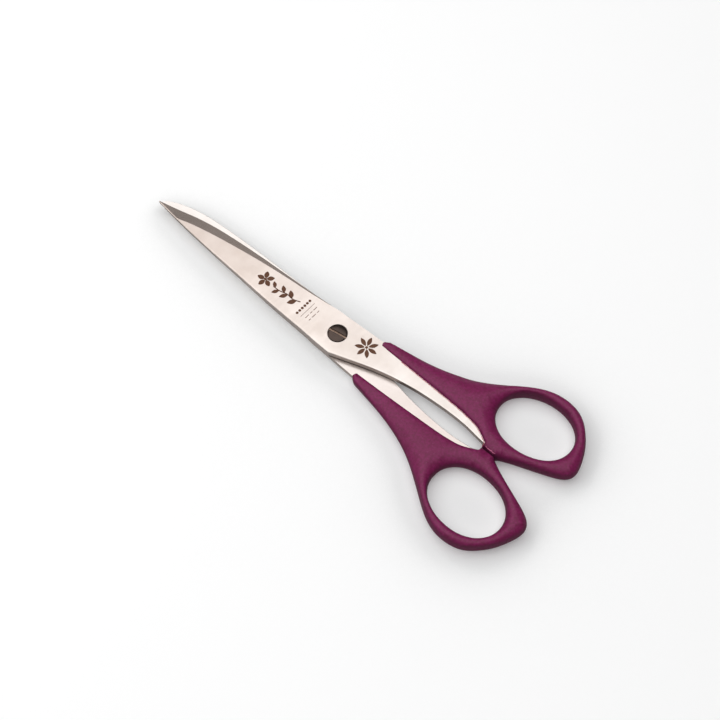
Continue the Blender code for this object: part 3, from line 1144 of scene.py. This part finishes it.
    def build(self) -> Object:
        """Triangulate the skin once, lift it to both sides and close it round the edges.

        Returns:
            The finished handle.
        """
        loops = self.edges()
        rims = [loop.points for loop in loops]
        cover = self.cover_points(loops)
        places = np.vstack([*rims, cover])
        first, second = len(rims[0]), len(rims[1])
        ring_edges = [(i, (i + 1) % first) for i in range(first)]
        ring_edges += [(first + i, first + (i + 1) % second) for i in range(second)]
        out = delaunay_2d_cdt([Vector(p) for p in places], ring_edges, [], 0, 1e-6)
        flat = np.array([tuple(v) for v in out[0]])
        triangles = np.array([f for f in out[2] if len(f) == 3])
        centres = flat[triangles].mean(1)
        triangles = triangles[inside(centres, rims[0]) & ~inside(centres, rims[1])]
        level = self.softened(self.levels(flat, loops), flat, triangles, loops)
        top, bottom = (np.column_stack([flat, self.leaned(flat[:, 0], side * level)]) for side in (1, -1))
        walls, middle = self.walls(triangles, top, bottom)
        faces = [tuple(int(i) for i in t) for t in triangles]
        faces += [tuple(int(i) + len(flat) for i in t[::-1]) for t in triangles]
        vertices = np.vstack([top, bottom, middle])
        obj = make_object(self.name, self.layout.to_part(vertices, self.turned), faces + walls, [PLUM])
        crease(obj, self.hard_angle)
        return obj

    def walls(self, triangles: np.ndarray, top: np.ndarray,
              bottom: np.ndarray) -> tuple[list[Face], np.ndarray]:
        """Join the free edges of the two skins, with one row of points half-way up.

        Args:
            triangles: the upper skin's triangles.
            top: the upper skin's points.
            bottom: the lower skin's points.

        Returns:
            The faces of the walls, and the points of the half-way row.
        """
        keys = {(int(a), int(b)) for a, b in sides_of(triangles)}
        free = [(a, b) for a, b in keys if (b, a) not in keys]
        count = len(top)
        rim = list(dict.fromkeys(i for edge in free for i in edge))
        row = {i: 2 * count + k for k, i in enumerate(rim)}
        faces: list[Face] = []
        for a, b in free:
            faces += [(b, a, row[a], row[b]), (row[b], row[a], a + count, b + count)]
        return faces, (top[rim] + bottom[rim]) / 2

    def attach(self, obj: Object) -> None:
        """Put the handle on its body in place of its node.

        Args:
            obj: the finished handle.
        """
        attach(obj, self.body)
        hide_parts(self.node)


def sides_of(triangles: np.ndarray) -> np.ndarray:
    """The two ends of every side of every triangle."""
    return np.vstack([triangles[:, [0, 1]], triangles[:, [1, 2]], triangles[:, [2, 0]]])


def inside(places: np.ndarray, loop: np.ndarray) -> np.ndarray:
    """Which places lie inside a closed run of points.

    Args:
        places: (n, 2) places.
        loop: the points of the run.

    Returns:
        n truth values.
    """
    x, y = places[:, 0][:, None], places[:, 1][:, None]
    ax, ay = loop[:, 0], loop[:, 1]
    bx, by = np.roll(ax, -1), np.roll(ay, -1)
    crosses = (ay > y) != (by > y)
    with np.errstate(divide="ignore", invalid="ignore"):
        at = ax + (y - ay) * (bx - ax) / (by - ay)
    return ((crosses & (x < at)).sum(1) % 2).astype(bool)


def thinned(places: np.ndarray, gap: float) -> np.ndarray:
    """The places with any that stands closer than the gap to an earlier one left out.

    Args:
        places: (n, 2) places.
        gap: the least distance.

    Returns:
        (m, 2) places.
    """
    kept: dict[tuple[int, int], list[np.ndarray]] = {}
    result = []
    for place in places:
        cell = (int(place[0] // gap), int(place[1] // gap))
        around = [p for i in (-1, 0, 1) for j in (-1, 0, 1) for p in kept.get((cell[0] + i, cell[1] + j), [])]
        if all((place[0] - p[0]) ** 2 + (place[1] - p[1]) ** 2 >= gap * gap for p in around):
            kept.setdefault(cell, []).append(place)
            result.append(place)
    return np.array(result)


FRONT_HANDLE = Handle("front_handle_moulded", "front_handle", "front_half", False)
REAR_HANDLE = Handle("rear_handle_moulded", "rear_handle", "rear_half", True)


# --- Screw ---


@dataclass(frozen=True)
class PivotScrew:
    """The slotted screw that the halves turn on."""

    name: str = "pivot_screw_turned"
    head_radius: float = 3.0
    dome: float = 0.46
    dome_power: float = 0.9
    seat_below: float = 0.3
    rim_below: float = 0.08
    broken_edge: float = 0.06
    least_radius: float = 0.03
    merge_gap: float = 0.02
    slot_edge: float = 0.03
    sides: int = 96
    hard_angle: float = 40.0
    neck_radius: float = 1.98
    slot_width: float = 0.74
    slot_depth: float = 0.58
    slot_turn: float = math.radians(10)
    layout: Layout = Layout()

    def build(self) -> Object:
        """Turn the screw, mill its slot and break the slot's edges.

        Returns:
            The finished screw.
        """
        seat = self.layout.outer_height - self.seat_below
        top = self.layout.outer_height - self.rim_below
        neck, head, broken = self.neck_radius, self.head_radius, self.broken_edge
        profile = [(0.9, 0.0), (neck - 0.1, 0.0), (neck, 0.1), (neck, seat), (head - broken, seat),
                   (head, seat + broken), (head, top)]
        for angle in np.linspace(0.06, 1, 14) * math.pi / 2:
            radius = head * math.cos(angle) ** self.dome_power
            profile.append((max(radius, self.least_radius), top + self.dome * math.sin(angle)))
        obj = turned_object(self.name, profile, self.sides, SCREW_STEEL)
        cut_away(obj, self.slot_cutter(top + self.dome))
        merge_near(obj, self.merge_gap)
        bevel = obj.modifiers.new("slot_edges", "BEVEL")
        bevel.width = self.slot_edge * MM
        bevel.segments = 2
        bevel.limit_method = "ANGLE"
        bevel.angle_limit = math.radians(50)
        applied(obj)
        crease(obj, self.hard_angle)
        return obj

    def slot_cutter(self, top: float) -> Object:
        """A bar across the head, as deep as the slot.

        Args:
            top: height of the dome's top in mm.

        Returns:
            The cutter.
        """
        half_length, half_width = self.head_radius + 1, self.slot_width / 2
        corners = [(-half_length, -half_width), (half_length, -half_width), (half_length, half_width),
                   (-half_length, half_width)]
        flat = [Matrix.Rotation(self.slot_turn, 2) @ Vector(c) for c in corners]
        vertices = np.array([(p.x, p.y, z) for z in (top - self.slot_depth, top + 1) for p in flat]) * MM
        faces = [(0, 1, 2, 3), (4, 5, 6, 7), *bands(2, 4)]
        # The bar's bottom face gives the slot's floor its lighter finish, a painted glint.
        return make_object("slot_bar", vertices, faces, [SCREW_STEEL, SLOT_FLOOR_PAINTED_GLINT], [1, 0, 0, 0, 0, 0])

    def attach(self, obj: Object) -> None:
        """Put the screw on its body in place of its node.

        Args:
            obj: the finished screw.
        """
        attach(obj, "pivot_screw")
        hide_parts("pivot_screw")


# --- Pieces that repeat or follow a path ---


class NodeTool:
    """A Geometry Nodes tree with named inputs, run on an object and then made a plain mesh."""

    def __init__(self, name: str, sizes: tuple[str, ...], counts: tuple[str, ...] = ()) -> None:
        """Start the tree.

        Args:
            name: the tree's name.
            sizes: names of the inputs that hold a length, a share or a seed.
            counts: names of the inputs that hold a whole number.
        """
        self.tree = bpy.data.node_groups.new(name, "GeometryNodeTree")
        kinds = {"Geometry": "Geometry", **dict.fromkeys(sizes, "Float"), **dict.fromkeys(counts, "Int"),
                 "Material": "Material"}
        for label, kind in kinds.items():
            self.tree.interface.new_socket(label, in_out="INPUT", socket_type="NodeSocket" + kind)
        self.tree.interface.new_socket("Geometry", in_out="OUTPUT", socket_type="NodeSocketGeometry")
        self.nodes = Nodes(self.tree)
        self.given = self.nodes.add("NodeGroupInput").outputs

    def finish(self, geometry: Socket) -> None:
        """End the tree: real geometry, then its material.

        Args:
            geometry: what the tree has made.
        """
        real = self.nodes.add("GeometryNodeRealizeInstances", {"Geometry": geometry}).outputs[0]
        dressed = self.nodes.add("GeometryNodeSetMaterial", {
            "Geometry": real, "Material": self.given["Material"]}).outputs[0]
        self.nodes.add("NodeGroupOutput", {"Geometry": dressed})

    def run(self, obj: Object, finish: Finish, **values: float) -> Object:
        """Run the tree on an object and keep the plain mesh.

        Args:
            obj: the object whose mesh the tree starts from.
            finish: the result's finish.
            values: what goes into each input, by its name.

        Returns:
            The same object.
        """
        modifier = obj.modifiers.new(self.tree.name, "NODES")
        modifier.node_group = self.tree
        given = {**values, "Material": finish.make()}
        for item in self.tree.interface.items_tree:
            if item.in_out == "INPUT" and item.name in given:
                modifier[item.identifier] = given[item.name]
        return applied(obj)


def petal_tool() -> NodeTool:
    """A thin flat leaf, set on every point with its own turn and size.

    Returns:
        The tool.
    """
    tool = NodeTool("petals_on_points", ("Length", "Width", "Taper", "Thickness"), ("Sides",))
    nodes, given, step = tool.nodes, tool.given, tool.nodes.math
    disc = nodes.add("GeometryNodeMeshCylinder", {"Vertices": given["Sides"], "Depth": given["Thickness"],
                                                  "Radius": 1.0}, fill_type="NGON")
    x, y, z = nodes.parts(nodes.add("GeometryNodeInputPosition").outputs[0])
    narrowing = step("SUBTRACT", 1.0, step("MULTIPLY", given["Taper"], step("MULTIPLY", x, x)))
    half_length, half_width = (step("MULTIPLY", given[name], 0.5) for name in ("Length", "Width"))
    shaped = nodes.add("ShaderNodeCombineXYZ", {
        "X": step("MULTIPLY", x, half_length),
        "Y": step("MULTIPLY", step("MULTIPLY", y, half_width), narrowing), "Z": z})
    leaf = nodes.add("GeometryNodeSetPosition", {
        "Geometry": disc.outputs["Mesh"], "Position": shaped.outputs[0]})
    turn, size = (nodes.add("GeometryNodeInputNamedAttribute", {"Name": name}, data_type="FLOAT").outputs[0]
                  for name in ("turn", "size"))
    euler = nodes.add("ShaderNodeCombineXYZ", {"Z": turn})
    rotation = nodes.add("FunctionNodeEulerToRotation", {0: euler.outputs[0]})
    scale = nodes.add("ShaderNodeCombineXYZ", {"X": size, "Y": size, "Z": 1.0})
    spread = nodes.add("GeometryNodeInstanceOnPoints", {
        "Points": given["Geometry"], "Instance": leaf.outputs[0], "Rotation": rotation.outputs[0],
        "Scale": scale.outputs[0]})
    tool.finish(spread.outputs[0])
    return tool


def line_tool() -> NodeTool:
    """A flat bar swept along the edges of a mesh, wavering by a fixed noise if asked.

    Returns:
        The tool.
    """
    tool = NodeTool("bar_along_path", ("Width", "Height", "Spacing", "Waver", "Unevenness", "Seed"))
    nodes, given, step = tool.nodes, tool.given, tool.nodes.math
    curve = nodes.add("GeometryNodeMeshToCurve", {"Mesh": given["Geometry"]}).outputs[0]
    even = nodes.add("GeometryNodeResampleCurve", {"Curve": curve, "Length": given["Spacing"]}, mode="LENGTH")
    upright = nodes.add("GeometryNodeSetCurveNormal", {"Curve": even.outputs[0]}, mode="Z_UP").outputs[0]
    noise = nodes.add("ShaderNodeTexNoise", {"Scale": TEAR_SCALE, "W": given["Seed"]}, noise_dimensions="4D")
    centred = nodes.add("ShaderNodeVectorMath", {0: noise.outputs["Color"], 1: (0.5, 0.5, 0.5)},
                        operation="SUBTRACT").outputs[0]
    moved = nodes.add("ShaderNodeVectorMath", {0: centred, "Scale": given["Waver"]}, operation="SCALE")
    wavering = nodes.add("GeometryNodeSetPosition", {
        "Geometry": upright, "Offset": moved.outputs[0]}).outputs[0]
    swing = step("MULTIPLY", step("SUBTRACT", noise.outputs["Fac"], 0.5), given["Unevenness"])
    girth = step("MAXIMUM", step("ADD", swing, 1.0), 0.25)
    uneven = nodes.add("GeometryNodeSetCurveRadius", {"Curve": wavering, "Radius": girth}).outputs[0]
    section = nodes.add("GeometryNodeCurvePrimitiveQuadrilateral", {"Width": given["Width"],
                                                                    "Height": given["Height"]})
    sweep = nodes.add("GeometryNodeCurveToMesh", {
        "Curve": uneven, "Profile Curve": section.outputs[0], "Fill Caps": True,
        "Scale": nodes.add("GeometryNodeInputRadius").outputs[0]})
    tool.finish(sweep.outputs[0])
    return tool


def point_object(name: str, places: list[tuple[float, ...]]) -> Object:
    """A bare object of points in mm, each with a turn in degrees and a size.

    Args:
        name: the object's name.
        places: (x, y, turn, size) of each point.

    Returns:
        The object.
    """
    table = np.array(places, float)
    mesh = bpy.data.meshes.new(name)
    mesh.from_pydata([(x * MM, y * MM, 0.0) for x, y in table[:, :2]], [], [])
    for label, values in (("turn", np.radians(table[:, 2])), ("size", table[:, 3])):
        mesh.attributes.new(label, "FLOAT", "POINT").data.foreach_set("value", values.astype(np.float32))
    return linked(name, mesh)


def path_object(name: str, paths: list[np.ndarray]) -> Object:
    """A bare object of edges along open paths.

    Args:
        name: the object's name.
        paths: (n, 3) points of each path in mm, in their final places.

    Returns:
        The object.
    """
    mesh = bpy.data.meshes.new(name)
    edges: list[tuple[int, int]] = []
    start = 0
    for path in paths:
        edges += [(i, i + 1) for i in range(start, start + len(path) - 1)]
        start += len(path)
    mesh.from_pydata([tuple(p * MM) for p in np.vstack(paths)], edges, [])
    return linked(name, mesh)


def outward(centre: tuple[float, ...], degrees: float, reach: float) -> tuple[float, float, float]:
    """The place at some reach from a centre, with the direction that it lies in."""
    angle = math.radians(degrees)
    return centre[0] + reach * math.cos(angle), centre[1] + reach * math.sin(angle), degrees


@dataclass(frozen=True)
class EtchedOrnament:
    """Dark marks on the front blade: a blossom, a sprig, short rules and a star of leaves by the shank."""

    layout: Layout = Layout()
    depth: float = 0.04
    proud: float = 0.012
    line: float = 0.34
    blossom_at: tuple[float, float] = (29.6, 0.5)
    star_at: tuple[float, float] = (-9.8, -2.2)
    stem: Knots = ((15.9, -0.6), (18.3, 0.25), (21.0, 0.1), (23.6, 0.75), (26.0, 0.8))
    dashes: tuple[tuple[float, Knots], ...] = ((10.9, ((-2.6, 1.5), (-0.5, 0.9), (1.0, 1.6))),
                                               (9.5, ((-2.1, 0.9), (-0.6, 1.7), (1.7, 0.8))))
    sides: int = 20
    spacing: float = 0.25

    def laid_on_face(self, obj: Object) -> Object:
        """Lift a flat mesh onto the blade's sloping face.

        Args:
            obj: the flat object.

        Returns:
            The same object.
        """
        places = np.empty(len(obj.data.vertices) * 3, np.float32)
        obj.data.vertices.foreach_get("co", places)
        places = places.reshape(-1, 3).astype(float)
        face = self.layout.clearance / 2 + self.layout.steel_thickness(places[:, 0] / MM)
        places[:, 2] += (self.layout.plane_height + face + self.proud - self.depth / 2) * MM
        obj.data.vertices.foreach_set("co", places.astype(np.float32).ravel())
        obj.data.update()
        return obj

    def petals(self, tool: NodeTool, name: str, places: list[tuple[float, ...]], length: float, width: float,
               taper: float) -> Object:
        """One group of equal leaves or dots.

        Args:
            tool: the tool that sets leaves on points.
            name: the group's name.
            places: (x, y, turn, size) of each.
            length: length of a leaf in mm.
            width: width of a leaf in mm.
            taper: how far its ends narrow, from 0 to 1.

        Returns:
            The group.
        """
        flat = tool.run(point_object(name, places), ETCH, Length=length * MM, Width=width * MM, Taper=taper,
                        Thickness=self.depth * MM, Sides=self.sides)
        return self.laid_on_face(flat)

    def lines(self, tool: NodeTool, name: str, paths: list[np.ndarray], width: float) -> Object:
        """One group of thin lines.

        Args:
            tool: the tool that sweeps a bar.
            name: the group's name.
            paths: (n, 3) points of each line.
            width: their width in mm.

        Returns:
            The group.
        """
        flat = tool.run(path_object(name, paths), ETCH, Width=width * MM, Height=self.depth * MM,
                        Spacing=self.spacing * MM)
        return self.laid_on_face(flat)

    def build(self) -> list[Object]:
        """Make all the marks.

        Returns:
            The nine groups.
        """
        petal, line = petal_tool(), line_tool()
        stem = smooth_path(np.array(self.stem), 6)
        leaves = []
        for share, side in zip((0.14, 0.3, 0.46, 0.62, 0.78, 0.92), (1, -1) * 3):
            root = stem[int(share * (len(stem) - 1))]
            leaves.append((*outward(root, 8 + side * 48, 1.6 - 0.45 * share), 1.15 - 0.35 * share))
        dashes = [np.array([(x, start, 0.0), (x, start + length, 0.0)])
                  for x, runs in self.dashes for start, length in runs]
        heart = 0.0, 1.0
        return [
            self.petals(petal, "etched_blossom_petals", self.ring_of_leaves(self.blossom_at, 1.6, 5, 12.0),
                        2.5, 1.6, 0.45),
            self.petals(petal, "etched_blossom_heart", [(*self.blossom_at, *heart)], 0.9, 0.9, 0.0),
            self.petals(petal, "etched_sprig_leaves", leaves, 2.9, 1.5, 0.7),
            self.lines(line, "etched_sprig_stem", [np.column_stack([stem, np.zeros(len(stem))])], self.line),
            self.petals(petal, "etched_dots", [(14.0, y, 45.0, 1.0) for y in np.linspace(-2.8, 2.9, 6)],
                        0.9, 0.9, 0.0),
            self.lines(line, "etched_rule", [np.array([(12.3, y, 0.0) for y in (-3.1, 3.2)])], 0.12),
            self.lines(line, "etched_dashes", dashes, 0.2),
            self.petals(petal, "etched_star_leaves", self.ring_of_leaves(self.star_at, 2.15, 7, 30.0),
                        3.1, 1.35, 0.55),
            self.petals(petal, "etched_star_heart", [(*self.star_at, *heart)], 0.95, 0.95, 0.0),
        ]

    def ring_of_leaves(self, centre: tuple[float, float], reach: float, count: int,
                       first: float) -> list[tuple[float, ...]]:
        """Places of leaves that point away from a centre.

        Args:
            centre: the middle of the ring.
            reach: how far out the leaves' middles lie.
            count: how many leaves.
            first: direction of the first one, in degrees.

        Returns:
            (x, y, turn, size) of each leaf.
        """
        return [(*outward(centre, first + 360 * k / count, reach), 1.0) for k in range(count)]

    def attach(self, obj: Object) -> None:
        """Let a mark move with the front blade.

        Args:
            obj: the mark.
        """
        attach(obj, "front_half")


@dataclass(frozen=True)
class MouldMarks:
    """What the mould leaves on one handle: the line round its middle and a little flash at the nose."""

    handle: Handle
    seam_width: float = 0.07
    seam_height: float = 0.16
    flash_from: float = -61.0
    flash_to: float = -57.6
    flash_width: float = 0.24
    film_from: float = -57.0
    film_share: float = 1.0
    film_width: float = 0.13
    film_height: float = 0.08
    film_overlap: float = 0.04
    flash_height: float = 0.3
    flash_waver: float = 0.8
    flash_inset: float = 0.2
    flash_level: float = 0.86

    def swept(self, tool: NodeTool, name: str, paths: list[np.ndarray], finish: Finish,
              **sizes: float) -> Object:
        """One mark of this handle, swept along local paths.

        Args:
            tool: the tool that sweeps a bar.
            name: what the mark is called after the handle.
            paths: (n, 3) local points of each path in mm.
            finish: its finish.
            sizes: the tool's other inputs.

        Returns:
            The mark.
        """
        handle = self.handle
        placed = [handle.layout.to_part(path, handle.turned) / MM for path in paths]
        return tool.run(path_object(f"{handle.node}_{name}", placed), finish, **sizes)

    def seam(self, tool: NodeTool) -> Object:
        """The fine raised line where the mould halves met, round the outside and in the finger hole.

        Args:
            tool: the tool that sweeps a bar.

        Returns:
            The mark.
        """
        hole = self.handle.hole().points
        runs = self.handle.outer_run()[12:-6], np.vstack([hole, hole[:1]])
        paths = [np.column_stack([run, self.handle.leaned(run[:, 0], np.zeros(len(run)))]) for run in runs]
        return self.swept(tool, "mould_line", paths, PLUM, Width=self.seam_width * MM,
                          Height=self.seam_height * MM, Spacing=0.2 * MM)

    def flash(self, tool: NodeTool) -> Object:
        """A ragged ridge along the edge of the face that meets the other handle.

        Args:
            tool: the tool that sweeps a bar.

        Returns:
            The mark.
        """
        x = np.linspace(self.flash_from, self.flash_to, 24)
        height = self.handle.leaned(x, np.full(len(x), self.flash_level))
        path = np.column_stack([x, np.full(len(x), -self.flash_inset), height])
        # Its light pink finish is a painted highlight.
        return self.swept(tool, "nose_flash", [path], FLASH_PAINTED_HIGHLIGHT, Width=self.flash_width * MM,
                          Height=self.flash_height * MM, Spacing=0.2 * MM, Waver=self.flash_waver * MM,
                          Unevenness=5.0, Seed=self.flash_from)

    def film(self, tool: NodeTool) -> Object:
        """The thin lip of plastic that lies on the steel along its edge.

        Args:
            tool: the tool that sweeps a bar.

        Returns:
            The mark.
        """
        layout = self.handle.layout
        points = smooth_path(self.handle.on_handle(self.handle.inner_side), 7)
        points = points[points[:, 0] > self.film_from][:-4]
        face = np.full(len(points), layout.clearance / 2 + self.film_share * layout.stock)
        path = np.column_stack([points + [0, self.film_overlap], face])
        # Its bright red finish is painted light showing through the thin plastic.
        return self.swept(tool, "edge_film", [path], FILM_PAINTED_LIGHT, Width=self.film_width * MM,
                          Height=self.film_height * MM, Spacing=0.4 * MM, Waver=0.08 * MM, Unevenness=1.5,
                          Seed=1.0)

    def build(self) -> list[Object]:
        """Make all three marks."""
        tool = line_tool()
        return [self.seam(tool), self.flash(tool), self.film(tool)]

    def attach(self, obj: Object) -> None:
        """Let a mark move with its handle.

        Args:
            obj: the mark.
        """
        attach(obj, self.handle.body)


# --- Stage ---


@dataclass(frozen=True)
class Softbox:
    """One soft light: where it hangs, what it points at, its size and its power."""

    name: str
    place: Point
    size: tuple[float, float]
    power: float
    aim: Point = (-0.01, 0.0, 0.0)
    colour: Colour = (1.0, 1.0, 1.0)

    def build(self) -> None:
        """Hang the light."""
        data = bpy.data.lights.new(self.name, "AREA")
        data.shape = "RECTANGLE"
        data.size, data.size_y = self.size
        data.energy = self.power
        data.color = self.colour
        lamp = linked(self.name, data)
        lamp.location = self.place
        lamp.rotation_euler = (Vector(self.aim) - Vector(self.place)).to_track_quat("-Z", "Y").to_euler()


@dataclass(frozen=True)
class Stage:
    """Floor, lights, surroundings and camera."""

    floor_height: float = -1.55
    floor_half: float = 6.0
    shade_reach: float = 0.07
    shade_range: tuple[float, float] = (0.86, 0.998)
    painted_shadow_colour: Colour = (0.755, 0.76, 0.76)
    open: Colour = (0.95, 0.95, 0.95)
    glow_range: tuple[float, float] = (0.45, 0.86)
    painted_glow_strength: float = 0.16
    surround: float = 0.17
    camera_place: Point = (-0.1490, 0.1556, 0.37875)
    camera_aim: Point = (-0.01048, 0.00153, 0.00195)
    camera_right: Point = (-0.7436, -0.6686, 0.0)
    lens: float = 71.6
    boxes: tuple[Softbox, ...] = (
        Softbox("overhead_softbox", (0.16, 0.06, 0.85), (1.4, 1.35), 11.45),
        Softbox("left_softbox", (0.55, 0.55, 0.5), (0.5, 0.5), 0.75),
        Softbox("right_fill", (0.36, -0.89, 0.3), (0.9, 0.6), 0.36),
    )

    def floor(self) -> None:
        """A wide pale matt floor under the scissors: painted shadow where sheltered, painted light where most
        sheltered.
        """
        h, z = self.floor_half, self.floor_height * MM
        material, nodes, shader = new_material("pale_floor")
        shelter = nodes.add("ShaderNodeAmbientOcclusion", {"Distance": self.shade_reach}, samples=16)
        openness = shelter.outputs["AO"]
        # Painted shadow: occlusion darkens the base colour; painted light: the same value makes the most
        # sheltered floor emit light.
        nodes.feed(shader, {
            "Base Color": nodes.mix(nodes.ramp(openness, *self.shade_range, 0.0, 1.0), self.painted_shadow_colour, self.open),
            "Emission Color": (1, 1, 1, 1),
            "Emission Strength": nodes.ramp(openness, *self.glow_range, self.painted_glow_strength, 0.0),
            "Roughness": 0.9,
            "Specular IOR Level": 0.1,
        })
        mesh = bpy.data.meshes.new("floor")
        mesh.from_pydata([(-h, -h, z), (h, -h, z), (h, h, z), (-h, h, z)], [], [(0, 1, 2, 3)])
        mesh.materials.append(material)
        linked("floor", mesh)

    def surroundings(self) -> None:
        """Even, slightly dim surroundings, so that steel facing the horizon reads darker."""
        world = bpy.data.worlds.new("studio")
        world.use_nodes = True
        Nodes(world.node_tree).feed(world.node_tree.nodes["Background"], {
            "Color": (1.0, 1.0, 1.0, 1), "Strength": self.surround})
        bpy.context.scene.world = world
        bpy.context.scene.view_settings.view_transform = "Standard"

    def camera(self) -> None:
        """A long lens above the scissors, with the blades towards the upper left."""
        data = bpy.data.cameras.new("camera")
        data.lens = self.lens
        data.sensor_width = 36.0
        data.clip_start = 0.01
        obj = linked("camera", data)
        back = (Vector(self.camera_place) - Vector(self.camera_aim)).normalized()
        right = Vector(self.camera_right)
        right = (right - back * right.dot(back)).normalized()
        up = back.cross(right)
        turn = Matrix((right, up, back)).transposed().to_4x4()
        obj.matrix_world = Matrix.Translation(self.camera_place) @ turn
        bpy.context.scene.camera = obj

    def build(self) -> None:
        """Set up everything round the object."""
        for build in (self.floor, self.surroundings, self.camera, *(box.build for box in self.boxes)):
            build()


def corners(bounds: tuple[Vector, Vector]) -> list[list[float]]:
    """A box's two corners as plain lists of numbers."""
    return [[round(float(value), 6) for value in corner] for corner in bounds]


def main() -> None:
    """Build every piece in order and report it."""
    logging.basicConfig(level=logging.INFO, format="%(message)s")
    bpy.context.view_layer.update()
    Stage().build()
    for maker in (FRONT_BLADE, REAR_BLADE, FRONT_HANDLE, REAR_HANDLE, PivotScrew()):
        piece = maker.build()
        maker.attach(piece)
        LOG.info("%s: %d faces", piece.name, len(piece.data.polygons))
    rear_marks = MouldMarks(REAR_HANDLE, flash_from=-61.6, flash_to=-60.1, film_share=0.0)
    for maker in (EtchedOrnament(), MouldMarks(FRONT_HANDLE), rear_marks):
        for piece in maker.build():
            maker.attach(piece)
            LOG.info("%s: %d faces", piece.name, len(piece.data.polygons))


if __name__ == "__main__":
    main()
